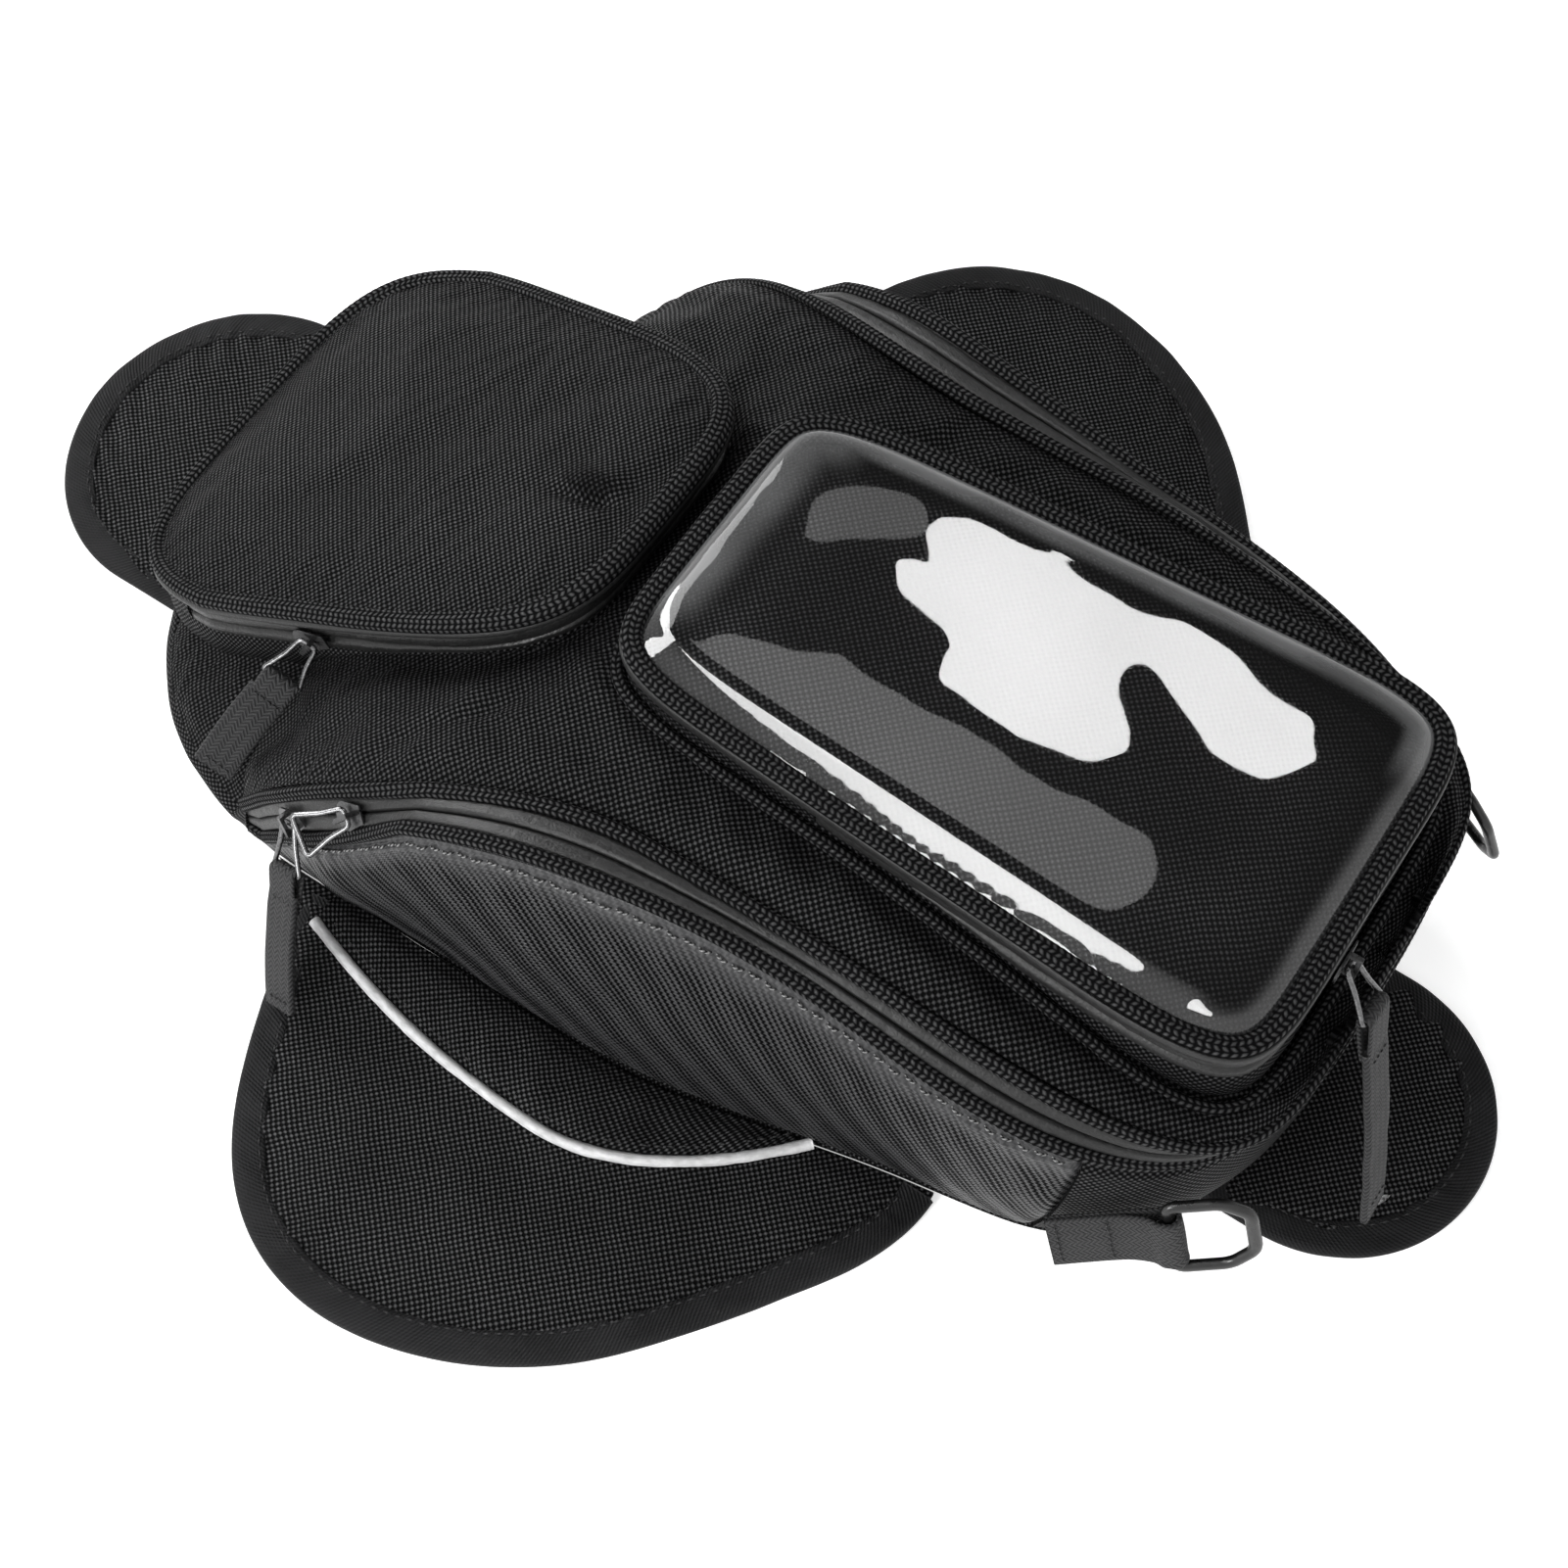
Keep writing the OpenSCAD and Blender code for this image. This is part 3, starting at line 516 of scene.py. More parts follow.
class Mat:
    def __init__(self, name):
        self.m = bpy.data.materials.new(name)
        self.m.use_nodes = True
        self.t = self.m.node_tree
        self.t.nodes.clear()
        self.out = self.t.nodes.new("ShaderNodeOutputMaterial")

    def n(self, kind, **kw):
        o = self.t.nodes.new(kind)
        for k, v in kw.items():
            setattr(o, k, v)
        return o

    def link(self, a, b):
        self.t.links.new(a, b)

    def math(self, op, a, b=None, c=None, clamp=False):
        o = self.n("ShaderNodeMath", operation=op, use_clamp=clamp)
        for i, v in enumerate((a, b, c)):
            if v is None:
                continue
            if isinstance(v, (int, float)):
                o.inputs[i].default_value = float(v)
            else:
                self.link(v, o.inputs[i])
        return o.outputs[0]

    def uv(self):
        if not hasattr(self, "_uv"):
            u = self.n("ShaderNodeUVMap", uv_map="UVMap")
            s = self.n("ShaderNodeSeparateXYZ")
            self.link(u.outputs[0], s.inputs[0])
            self._uv = (s.outputs[0], s.outputs[1], u.outputs[0])
        return self._uv

    def obj(self):
        if not hasattr(self, "_obj"):
            g = self.n("ShaderNodeTexCoord")
            s = self.n("ShaderNodeSeparateXYZ")
            v = self.n("ShaderNodeVectorMath", operation="SCALE")
            self.link(g.outputs["Object"], v.inputs[0])
            v.inputs["Scale"].default_value = 1000.0
            self.link(v.outputs[0], s.inputs[0])
            self._obj = (s.outputs[0], s.outputs[1], s.outputs[2], v.outputs[0])
        return self._obj

    def noise(self, vec, scale, detail=3.0, rough=0.55, dist=0.0):
        o = self.n("ShaderNodeTexNoise")
        self.link(vec, o.inputs["Vector"])
        o.inputs["Scale"].default_value = scale
        o.inputs["Detail"].default_value = detail
        o.inputs["Roughness"].default_value = rough
        o.inputs["Distortion"].default_value = dist
        return o.outputs[0]

    def scaled(self, vec, x, y, z=1.0):
        o = self.n("ShaderNodeVectorMath", operation="MULTIPLY")
        self.link(vec, o.inputs[0])
        o.inputs[1].default_value = (x, y, z)
        return o.outputs[0]

    def ramp(self, fac, a, b, lo=0.0, hi=1.0):
        o = self.n("ShaderNodeMapRange")
        self.link(fac, o.inputs[0])
        o.inputs[1].default_value, o.inputs[2].default_value = lo, hi
        o.inputs[3].default_value, o.inputs[4].default_value = a, b
        return o.outputs[0]

    def colour(self, fac, a, b):
        o = self.n("ShaderNodeMix", data_type="RGBA")
        if isinstance(fac, (int, float)):
            o.inputs[0].default_value = fac
        else:
            self.link(fac, o.inputs[0])
        for i, v in ((6, a), (7, b)):
            if isinstance(v, tuple):
                o.inputs[i].default_value = (*v, 1.0)
            else:
                self.link(v, o.inputs[i])
        return o.outputs[2]

    def times(self, col, k):
        o = self.n("ShaderNodeVectorMath", operation="SCALE")
        self.link(col, o.inputs[0])
        if isinstance(k, (int, float)):
            o.inputs["Scale"].default_value = k
        else:
            self.link(k, o.inputs["Scale"])
        return o.outputs[0]

    def bump(self, height, dist, strength=1.0, prev=None):
        o = self.n("ShaderNodeBump")
        o.inputs["Strength"].default_value = strength
        o.inputs["Distance"].default_value = dist * 0.001
        self.link(height, o.inputs["Height"])
        if prev is not None:
            self.link(prev, o.inputs["Normal"])
        return o.outputs[0]

    def bsdf(self, color, rough, normal=None, metallic=0.0, spec=0.5, sheen=0.0, sheen_rough=0.5, coat=0.0, coat_rough=0.1, aniso=0.0):
        b = self.n("ShaderNodeBsdfPrincipled")
        def put(k, v):
            if v is None:
                return
            if isinstance(v, (int, float)):
                b.inputs[k].default_value = v
            elif isinstance(v, tuple):
                b.inputs[k].default_value = (*v, 1.0)
            else:
                self.link(v, b.inputs[k])
        put("Base Color", color); put("Roughness", rough); put("Normal", normal); put("Metallic", metallic)
        put("Specular IOR Level", spec); put("Sheen Weight", sheen); put("Sheen Roughness", sheen_rough)
        put("Coat Weight", coat); put("Coat Roughness", coat_rough); put("Anisotropic", aniso)
        self.b = b
        self.link(b.outputs[0], self.out.inputs[0])
        return self.m


def weave_height(M, u, v, p):
    """Plain weave of yarns p mm wide: raised grains on alternate crossings."""
    a = M.math("SINE", M.math("MULTIPLY", u, pi / p))
    b = M.math("SINE", M.math("MULTIPLY", v, pi / p))
    return M.math("MULTIPLY", a, b)


def fabric(name, p=1.05, dark=(0.001, 0.001, 0.0011), light=(0.05, 0.05, 0.052), rough=0.5, bump=0.34, turn=0.0, lo=-0.2, hi=1.0, spec=0.22, space="uv", gather=False):
    M = Mat(name)
    if space == "uv":
        u, v, vec = M.uv()
    else:
        u, v, _, vec = M.obj()
    jit = M.noise(M.scaled(vec, 0.05, 0.05), 1.0, 2.0)
    j = M.math("MULTIPLY", M.math("SUBTRACT", jit, 0.5), 1.6)
    u = M.math("ADD", u, j); v = M.math("ADD", v, M.math("MULTIPLY", j, -0.8))
    if turn:
        c, s = math.cos(turn), math.sin(turn)
        u2 = M.math("ADD", M.math("MULTIPLY", u, c), M.math("MULTIPLY", v, s))
        v = M.math("ADD", M.math("MULTIPLY", u, -s), M.math("MULTIPLY", v, c))
        u = u2
    w = weave_height(M, u, v, p)
    grain = M.noise(M.scaled(vec, 0.9, 0.9), 1.0, 2.0)
    fine = M.noise(M.scaled(vec, 3.1, 3.1), 1.0, 2.0)
    big = M.noise(M.scaled(vec, 0.02, 0.02), 1.0, 3.0)
    fac = M.math("POWER", M.ramp(M.math("ADD", w, M.math("MULTIPLY", M.math("SUBTRACT", grain, 0.5), 0.8)), 0.0, 1.0, lo, hi), 1.4)
    col = M.colour(fac, dark, light)
    col = M.times(col, M.math("MULTIPLY", M.ramp(big, 0.75, 1.3, 0.3, 0.7), M.ramp(fine, 0.6, 1.45, 0.3, 0.75)))
    h = M.math("ADD", M.math("MULTIPLY", w, 0.5), M.math("MULTIPLY", fine, 0.25))
    nrm = M.bump(h, bump, 0.9)
    if gather:
        # fine easing gathers beside the tuck in the pocket cover, bumped in, with painted shade darkening the colour in
        # the troughs between them
        x, y, z, _ = M.obj()
        al, ac = M.math("SUBTRACT", y, 39.0), M.math("ADD", x, 6.4)
        ph = M.math("ADD", ac, M.math("MULTIPLY", M.math("MULTIPLY", al, al), -0.012))
        ridge = M.math("SINE", M.math("MULTIPLY", ph, 2 * pi / 1.45))
        mask = M.math("MULTIPLY", M.ramp(ph, 0.0, 1.0, -0.6, 0.6), M.ramp(ph, 1.0, 0.0, 5.5, 9.5))
        mask = M.math("MULTIPLY", mask, M.math("MULTIPLY", M.ramp(al, 0.0, 1.0, -1.5, 1.5), M.ramp(al, 1.0, 0.0, 10.0, 19.0)))
        nrm = M.bump(M.math("MULTIPLY", ridge, mask), 0.85, 1.0, nrm)
        # painted shade: the colour is darkened in the troughs of the gathers, where shade would fall
        col = M.times(col, M.math("SUBTRACT", 1.0, M.math("MULTIPLY", mask, M.ramp(ridge, 0.75, 0.0, -1.0, 0.6))))
    return M.bsdf(col, M.ramp(fac, rough + 0.2, rough - 0.08), nrm, spec=M.math("ADD", M.math("MULTIPLY", fac, spec * 1.5), spec * 0.2), sheen=0.0)


def cord_material(name, p=2.0, light=(0.032, 0.032, 0.033), rows=2.0, width=6.0):
    """Braided cord: slanted grains in rows, run along u."""
    M = Mat(name)
    u, v, vec = M.uv()
    vv = M.math("MULTIPLY", v, 1.0)
    row = M.math("PINGPONG", vv, 1.55)
    ph = M.math("ADD", u, M.math("MULTIPLY", row, 0.55))
    a = M.math("SINE", M.math("MULTIPLY", ph, 2 * pi / p))
    b = M.math("SINE", M.math("MULTIPLY", row, pi / 1.55))
    w = M.math("MULTIPLY", M.math("ADD", M.math("MULTIPLY", a, 0.5), 0.5), b)
    grain = M.noise(M.scaled(vec, 1.4, 1.4), 1.0, 2.0)
    fine = M.noise(M.scaled(vec, 4.0, 4.0), 1.0, 1.0)
    f = M.ramp(M.math("ADD", w, M.math("MULTIPLY", M.math("SUBTRACT", grain, 0.5), 0.5)), 0.0, 1.0, 0.12, 0.95)
    col = M.times(M.colour(f, (0.002, 0.002, 0.0022), light), M.ramp(fine, 0.6, 1.4, 0.3, 0.7))
    nrm = M.bump(M.math("ADD", w, M.math("MULTIPLY", fine, 0.3)), 0.3, 0.9)
    return M.bsdf(col, M.ramp(f, 0.8, 0.5), nrm, spec=M.math("ADD", M.math("MULTIPLY", f, 0.28), 0.03))


def tape_material(name, p=1.3, light=(0.015, 0.015, 0.0155)):
    """Folded woven binding tape: fine twill running along the tape."""
    M = Mat(name)
    u, v, vec = M.uv()
    a = M.math("SINE", M.math("MULTIPLY", M.math("ADD", u, M.math("MULTIPLY", v, 0.8)), 2 * pi / p))
    b = M.math("SINE", M.math("MULTIPLY", v, 2 * pi / 0.9))
    w = M.math("ADD", M.math("MULTIPLY", a, 0.7), M.math("MULTIPLY", b, 0.3))
    fine = M.noise(M.scaled(vec, 2.4, 2.4), 1.0, 2.0)
    big = M.noise(M.scaled(vec, 0.04, 0.1), 1.0, 2.0)
    f = M.ramp(M.math("ADD", w, M.math("MULTIPLY", M.math("SUBTRACT", fine, 0.5), 1.2)), 0.0, 1.0, -0.6, 1.1)
    col = M.times(M.colour(f, (0.005, 0.005, 0.0055), light), M.ramp(big, 0.7, 1.35, 0.3, 0.7))
    nrm = M.bump(M.math("ADD", w, fine), 0.12, 0.8)
    return M.bsdf(col, 0.62, nrm, spec=0.13, sheen=0.0)


def coated_material(name, base=0.011, rough=0.42):
    """Matt coated zip tape: fine leather grain with creases across it."""
    M = Mat(name)
    u, v, vec = M.uv()
    vo = M.n("ShaderNodeTexVoronoi", feature="DISTANCE_TO_EDGE")
    M.link(M.scaled(vec, 0.75, 1.0), vo.inputs["Vector"]); vo.inputs["Scale"].default_value = 1.0
    g = M.noise(M.scaled(vec, 0.9, 0.9), 1.0, 4.0, 0.65)
    cr = M.noise(M.scaled(vec, 0.32, 0.05), 1.0, 3.0, 0.6, 0.6)
    big = M.noise(M.scaled(vec, 0.03, 0.1), 1.0, 2.0)
    h = M.math("ADD", M.math("ADD", M.math("MULTIPLY", M.math("MINIMUM", vo.outputs[0], 0.35), 1.0), M.math("MULTIPLY", g, 0.5)), M.math("MULTIPLY", cr, 1.6))
    col = M.times(M.colour(M.ramp(g, 0, 1, 0.3, 0.7), (base * 0.6,) * 3, (base * 1.5,) * 3), M.ramp(big, 0.8, 1.25, 0.3, 0.7))
    nrm = M.bump(h, 0.22, 0.7)
    return M.bsdf(col, M.ramp(g, rough - 0.06, rough + 0.14, 0.3, 0.7), nrm, spec=0.32)


def carbon_material(name):
    """Carbon-look coated cloth: rows of slanted glossy grains; near its top hem (high v) the grains fade into an evenly
    lighter grey, a painted highlight.
    """
    M = Mat(name)
    u, v, vec = M.uv()
    ang = math.radians(58)
    c, s = math.cos(ang), math.sin(ang)
    # a runs across the ribs, b along them
    a = M.math("ADD", M.math("MULTIPLY", u, s), M.math("MULTIPLY", v, c))
    b = M.math("ADD", M.math("MULTIPLY", u, -c), M.math("MULTIPLY", v, s))
    step = M.math("SINE", M.math("MULTIPLY", b, 2 * pi / 1.5))
    aa = M.math("ADD", a, M.math("MULTIPLY", step, 0.3))
    rib = M.math("SINE", M.math("MULTIPLY", aa, 2 * pi / 2.2))
    w = M.math("ADD", M.math("MULTIPLY", rib, 0.5), 0.5)
    fine = M.noise(M.scaled(vec, 2.0, 2.0), 1.0, 3.0)
    big = M.noise(M.scaled(vec, 0.035, 0.05), 1.0, 2.0)
    # painted highlight: towards the top hem (high v) the rib pattern is pulled to an even light grey that stands in for
    # a reflection
    smooth = M.ramp(M.math("ADD", v, M.math("MULTIPLY", M.math("SUBTRACT", big, 0.5), 10.0)), 1.0, 0.22, -16.0, -4.0)
    f = M.math("ADD", M.math("MULTIPLY", M.math("SUBTRACT", w, 0.75), smooth), 0.75)
    col = M.colour(M.ramp(f, 0.0, 1.0, 0.25, 0.8), (0.0015, 0.0015, 0.0017), (0.036, 0.036, 0.0375))
    col = M.times(col, M.ramp(fine, 0.75, 1.3, 0.3, 0.7))
    h = M.math("ADD", M.math("MULTIPLY", f, 1.0), M.math("MULTIPLY", fine, 0.12))
    nrm = M.bump(h, 0.6, 1.0)
    return M.bsdf(col, M.ramp(fine, 0.34, 0.5, 0.3, 0.7), nrm, spec=M.math("ADD", M.math("MULTIPLY", M.ramp(f, 0.0, 1.0, 0.2, 0.8), 0.36), 0.015))


def webbing_material(name, light=(0.03, 0.03, 0.031)):
    M = Mat(name)
    u, v, vec = M.uv()
    z = M.math("PINGPONG", v, 1.6)
    a = M.math("SINE", M.math("MULTIPLY", M.math("ADD", u, z), 2 * pi / 1.5))
    fine = M.noise(M.scaled(vec, 2.6, 2.6), 1.0, 2.0)
    f = M.ramp(M.math("ADD", a, M.math("MULTIPLY", M.math("SUBTRACT", fine, 0.5), 1.4)), 0, 1, -0.7, 1.1)
    col = M.times(M.colour(f, (0.005, 0.005, 0.0055), light), M.ramp(fine, 0.8, 1.2, 0.3, 0.7))
    return M.bsdf(col, 0.62, M.bump(M.math("ADD", a, fine), 0.15, 0.9), spec=0.25, sheen=0.03)


def metal_material(name, base=0.16, rough=0.28):
    M = Mat(name)
    x, y, z, vec = M.obj()
    g = M.noise(M.scaled(vec, 1.2, 1.2, 1.2), 1.0, 4.0, 0.6)
    f = M.noise(M.scaled(vec, 6.0, 6.0, 6.0), 1.0, 2.0)
    col = M.colour(M.ramp(g, 0, 1, 0.35, 0.7), (base * 0.75,) * 3, (base * 1.3, base * 1.3, base * 1.33))
    return M.bsdf(col, M.ramp(g, rough - 0.06, rough + 0.14, 0.3, 0.7), M.bump(f, 0.03, 0.5), metallic=1.0, spec=0.5)


def plastic_material(name, base=0.006, rough=0.22):
    M = Mat(name)
    x, y, z, vec = M.obj()
    g = M.noise(M.scaled(vec, 0.35, 0.35, 0.35), 1.0, 3.0)
    f = M.noise(M.scaled(vec, 4.0, 4.0, 4.0), 1.0, 2.0)
    return M.bsdf(M.colour(g, (base * 0.8,) * 3, (base * 1.6,) * 3), M.ramp(g, rough, rough + 0.15, 0.3, 0.7), M.bump(f, 0.03, 0.5), spec=0.5)


def grainy(name, base, scale, bump, rough, contrast=0.4):
    """Foam, board and other plain inner materials with a speckled grain."""
    M = Mat(name)
    x, y, z, vec = M.obj()
    vo = M.n("ShaderNodeTexVoronoi")
    M.link(M.scaled(vec, scale, scale, scale), vo.inputs["Vector"]); vo.inputs["Scale"].default_value = 1.0
    g = M.noise(M.scaled(vec, scale * 0.3, scale * 0.3, scale * 0.3), 1.0, 3.0)
    col = M.colour(M.math("MULTIPLY", g, vo.outputs[0]), tuple(b * (1 - contrast) for b in base), tuple(b * (1 + contrast) for b in base))
    return M.bsdf(col, rough, M.bump(vo.outputs[0], bump, 0.8), spec=0.3)


def film_material(name):
    """Clear soft PVC: mostly see-through, a little milky towards grazing angles, shiny and faintly wavy."""
    M = Mat(name)
    x, y, z, vec = M.obj()
    wav = M.noise(M.scaled(vec, 0.035, 0.035, 0.035), 1.0, 2.0, 0.4)
    fine = M.noise(M.scaled(vec, 0.35, 0.35, 0.35), 1.0, 2.0, 0.5)
    nrm = M.bump(wav, 0.03, 1.0)
    lw = M.n("ShaderNodeLayerWeight"); lw.inputs["Blend"].default_value = 0.35
    M.link(nrm, lw.inputs["Normal"])
    attr = M.n("ShaderNodeAttribute", attribute_name="milk")
    tr = M.n("ShaderNodeBsdfTransparent"); tr.inputs[0].default_value = (0.93, 0.93, 0.935, 1)
    tl = M.n("ShaderNodeBsdfTranslucent"); tl.inputs[0].default_value = (0.55, 0.56, 0.57, 1)
    df = M.n("ShaderNodeBsdfDiffuse"); df.inputs[0].default_value = (0.5, 0.505, 0.51, 1)
    m0 = M.n("ShaderNodeMixShader"); m0.inputs[0].default_value = 0.5
    M.link(tl.outputs[0], m0.inputs[1]); M.link(df.outputs[0], m0.inputs[2])
    milk = M.math("ADD", M.math("MULTIPLY", attr.outputs["Fac"], M.ramp(lw.outputs["Facing"], 0.34, 0.66, 0.05, 0.6)), 0.014, clamp=True)
    m1 = M.n("ShaderNodeMixShader"); M.link(milk, m1.inputs[0])
    M.link(tr.outputs[0], m1.inputs[1]); M.link(m0.outputs[0], m1.inputs[2])
    gl = M.n("ShaderNodeBsdfGlossy"); gl.inputs["Roughness"].default_value = 0.015
    gl.inputs[0].default_value = (1, 1, 1, 1)
    M.link(nrm, gl.inputs["Normal"])
    fr = M.n("ShaderNodeFresnel"); fr.inputs["IOR"].default_value = 1.5
    M.link(nrm, fr.inputs["Normal"])
    m2 = M.n("ShaderNodeMixShader")
    M.link(M.math("MULTIPLY", fr.outputs[0], 1.15, clamp=True), m2.inputs[0])
    M.link(m1.outputs[0], m2.inputs[1]); M.link(gl.outputs[0], m2.inputs[2])
    M.link(m2.outputs[0], M.out.inputs[0])
    return M.m


def reflective_material(name):
    """Grey glass-bead piping cloth."""
    M = Mat(name)
    u, v, vec = M.uv()
    f = M.noise(M.scaled(vec, 3.0, 3.0), 1.0, 2.0)
    g = M.noise(M.scaled(vec, 0.25, 0.5), 1.0, 3.0)
    col = M.colour(M.ramp(g, 0, 1, 0.3, 0.7), (0.42, 0.42, 0.422), (0.68, 0.68, 0.685))
    return M.bsdf(col, 0.42, M.bump(M.math("ADD", f, M.math("MULTIPLY", g, 2.0)), 0.15, 0.8), spec=0.6, sheen=0.3)


F_SHELL = fabric("shell_weave", light=(0.034, 0.034, 0.0355), spec=0.16)
F_FLAP = fabric("flap_weave", light=(0.06, 0.06, 0.062))
F_COVER = fabric("cover_weave", light=(0.034, 0.034, 0.0355), spec=0.15, gather=True)
F_LID = fabric("lid_weave", light=(0.034, 0.034, 0.0355), spec=0.16)
F_BASE = fabric("base_weave", p=0.8, light=(0.03, 0.03, 0.032), bump=0.12)
F_LINING = fabric("lining_weave", p=0.5, dark=(0.01, 0.01, 0.0105), light=(0.04, 0.04, 0.042), bump=0.06, rough=0.5)
CORD = cord_material("braided_cord")
TAPE = tape_material("edge_tape")
COATED = coated_material("coated_zip_tape")
CARBON = carbon_material("carbon_look_cloth")
WEB = webbing_material("webbing")
METAL = metal_material("gunmetal", 0.09, 0.3)
WIRE = metal_material("gunmetal_wire", 0.15, 0.24)
PLASTIC = plastic_material("ring_plastic")
FILM = film_material("clear_film")
REFLECT = reflective_material("reflective_cloth")
THREAD = webbing_material("thread", (0.045, 0.045, 0.046))
THREAD_PALE = webbing_material("thread_pale", (0.3, 0.3, 0.3))
FOAM = grainy("foam_cells", (0.08, 0.08, 0.085), 1.2, 0.25, 0.9)
BOARD = grainy("fibre_board", (0.03, 0.028, 0.026), 0.8, 0.05, 0.7)
MAGNET = metal_material("magnet_plating", 0.6, 0.25)
COIL = plastic_material("zip_coil", 0.003, 0.6)

for n, m in (("base_board", BOARD), ("base_foam", FOAM)):
    nodes[n].data.materials.clear(); nodes[n].data.materials.append(m)


def give(node, mat, bevel=0.0):
    o = nodes[node]
    if len(o.material_slots) == 0:
        o.data.materials.append(mat)
    for s in o.material_slots:
        s.material = mat
    if bevel:
        b = o.modifiers.new("soft_edges", "BEVEL"); b.width = bevel * 0.001; b.segments = 2; b.limit_method = "ANGLE"; b.angle_limit = math.radians(35)
        b.use_clamp_overlap = True


def done(o, body, slot, *replaced):
    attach(o, body)
    if replaced:
        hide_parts(*replaced)
    return o


# ------------------------------------------------------------------ walls


def wall_grid(a0, a1, n, m, v0=-0.03, v1=0.97):
    a = np.linspace(a0, a1, n)[:, None] + np.zeros((1, m))
    v = np.linspace(v0, v1, m)[None, :] + np.zeros((n, 1))
    P = wall(a, v)
    b = p_base(a)
    # the bottom edge tucks under towards the base seam
    k = sm(0.10, -0.03, v)
    N = normal_of(wall, a, np.clip(v, 0.03, 0.95))
    P = P - N * (3.2 * k ** 2)[..., None]
    P[..., 2] = np.maximum(P[..., 2], 1.5)
    # the top edge turns in under the seam binding
    k = sm(0.90, 0.97, v)
    P = P - N * (1.6 * k)[..., None]
    return P, N, a, v


def add_shell(name, P, N, t, mat, body, slot, *replaced):
    """A closed padded panel: outer face P, inner face t behind it."""
    S = np.concatenate([P, (P - N * t)[:, ::-1]], 1)
    o = skin(name, S, mat)
    return done(o, body, slot, *replaced)


for side, a0, a1 in (("left", 0.274, 0.799), ("right", 1.201, 1.726)):
    P, N, a, v = wall_grid(a0, a1, 420, 120)
    H = lengths(P, 1)[:, -1:]                      # panel height at each place
    d_top = H * (0.97 - v)
    # quilted pull at the hem, long soft waves, curled ends
    wave = 1.1 * noise2(P, 34, 3) + 0.35 * noise2(P, 11, 4)
    hem = 0.55 * sm(7, 3.2, d_top) * sm(1.0, 3.0, d_top) - 0.9 * exp(-((d_top - 3.6) / 1.1) ** 2) * sm(0, 3, H)
    gather = 0.5 * sin(2 * pi * lengths(P, 0) / 9.5 + 3 * value_noise(P, 20, 9)) * exp(-d_top / 9) * sm(0.5, 3, d_top)
    s_end = np.minimum(np.abs(a - a0), np.abs(a - a1))
    ends = -1.6 * exp(-(s_end / 0.006) ** 2)
    su = lengths(P, 0).mean(1)[:, None] + 0 * v
    sv = H * (v - 0.97)
    ca, sa = math.cos(math.radians(58)), math.sin(math.radians(58))
    turn = 1.0
    ribs = 0.14 * sin(2 * pi * (su * sa + sv * ca) / 2.6) * sm(8, 18, d_top)
    P2 = P + N * (wave * sm(0, 8, d_top) * sm(0, 0.02, s_end) + hem + gather + ends + ribs)[..., None]
    UV = np.stack([su, sv], -1)
    Pi = (P2 - N * 3.0)[:, ::-1]
    S = np.concatenate([P2, Pi], 1)
    k = S.shape[1]
    U = np.concatenate([UV, UV[:, ::-1], UV[:, :1]], 1)
    co, q, c = grid(S, U, False, True)
    caps, h = [], k // 2
    for e, flip in ((0, True), ((len(S) - 1) * k, False)):
        for j in range(h - 1):
            f = [e + j, e + j + 1, e + k - 2 - j, e + k - 1 - j]
            caps.append(f[::-1] if flip else f)
    caps = np.array(caps)
    cu = np.zeros((len(caps), 4, 2)); cu[..., 0] = co[caps][..., 1]; cu[..., 1] = -40 + 0.2 * co[caps][..., 2]
    q = np.concatenate([q, caps]); c = np.concatenate([c, cu])
    t = co[q]
    if dot(t[:, 0], np.cross(t[:, 1], t[:, 2])).sum() < 0:
        q = q[:, ::-1]; c = c[:, ::-1]
    o = build(side + "_carbon_panel", co, q, c, CARBON)
    done(o, "root", "carbon_look", side + "_side_panel")
    # stitching under the top edge
    j = int(np.argmin(np.abs(d_top[210] - 3.4)))
    st = P2[8:-8, j]; up = N[8:-8, j]
    stitches(side + "_panel_stitches", st, up, "root", 3.6, 1.2, 0.4, 0.55, THREAD_PALE)

P, N, a, v = wall_grid(0.797, 1.203, 160, 60)
P = P + N * (1.2 * noise2(P, 30, 5) * sin(pi * np.clip(v, 0, 1)))[..., None]
add_shell("rear_wall", P, N, 3.0, F_SHELL, "root", "shell_fabric", "rear_panel")

# ------------------------------------------------------------------ seam bindings and zip tapes


def ring_frame(f, a, v):
    p = f(a, v)
    n = normal_of(f, a, v)
    t = unit(f(a + 0.004, v) - f(a - 0.004, v))
    s = unit(np.cross(n, t))          # across the band
    up = unit(f(a, v + 0.02) - f(a, v - 0.02))
    s = np.where((dot(s, up) > 0)[..., None], s, -s)
    return p, n, t, s


def dense_a(f, a0, a1, step, v=0.5, n0=4000):
    a = np.linspace(a0, a1, n0)
    p = f(a, np.full(n0, v))
    l = lengths(p)
    m = int(l[-1] / step)
    return np.interp(np.linspace(0, l[-1], m + 1), l, a)


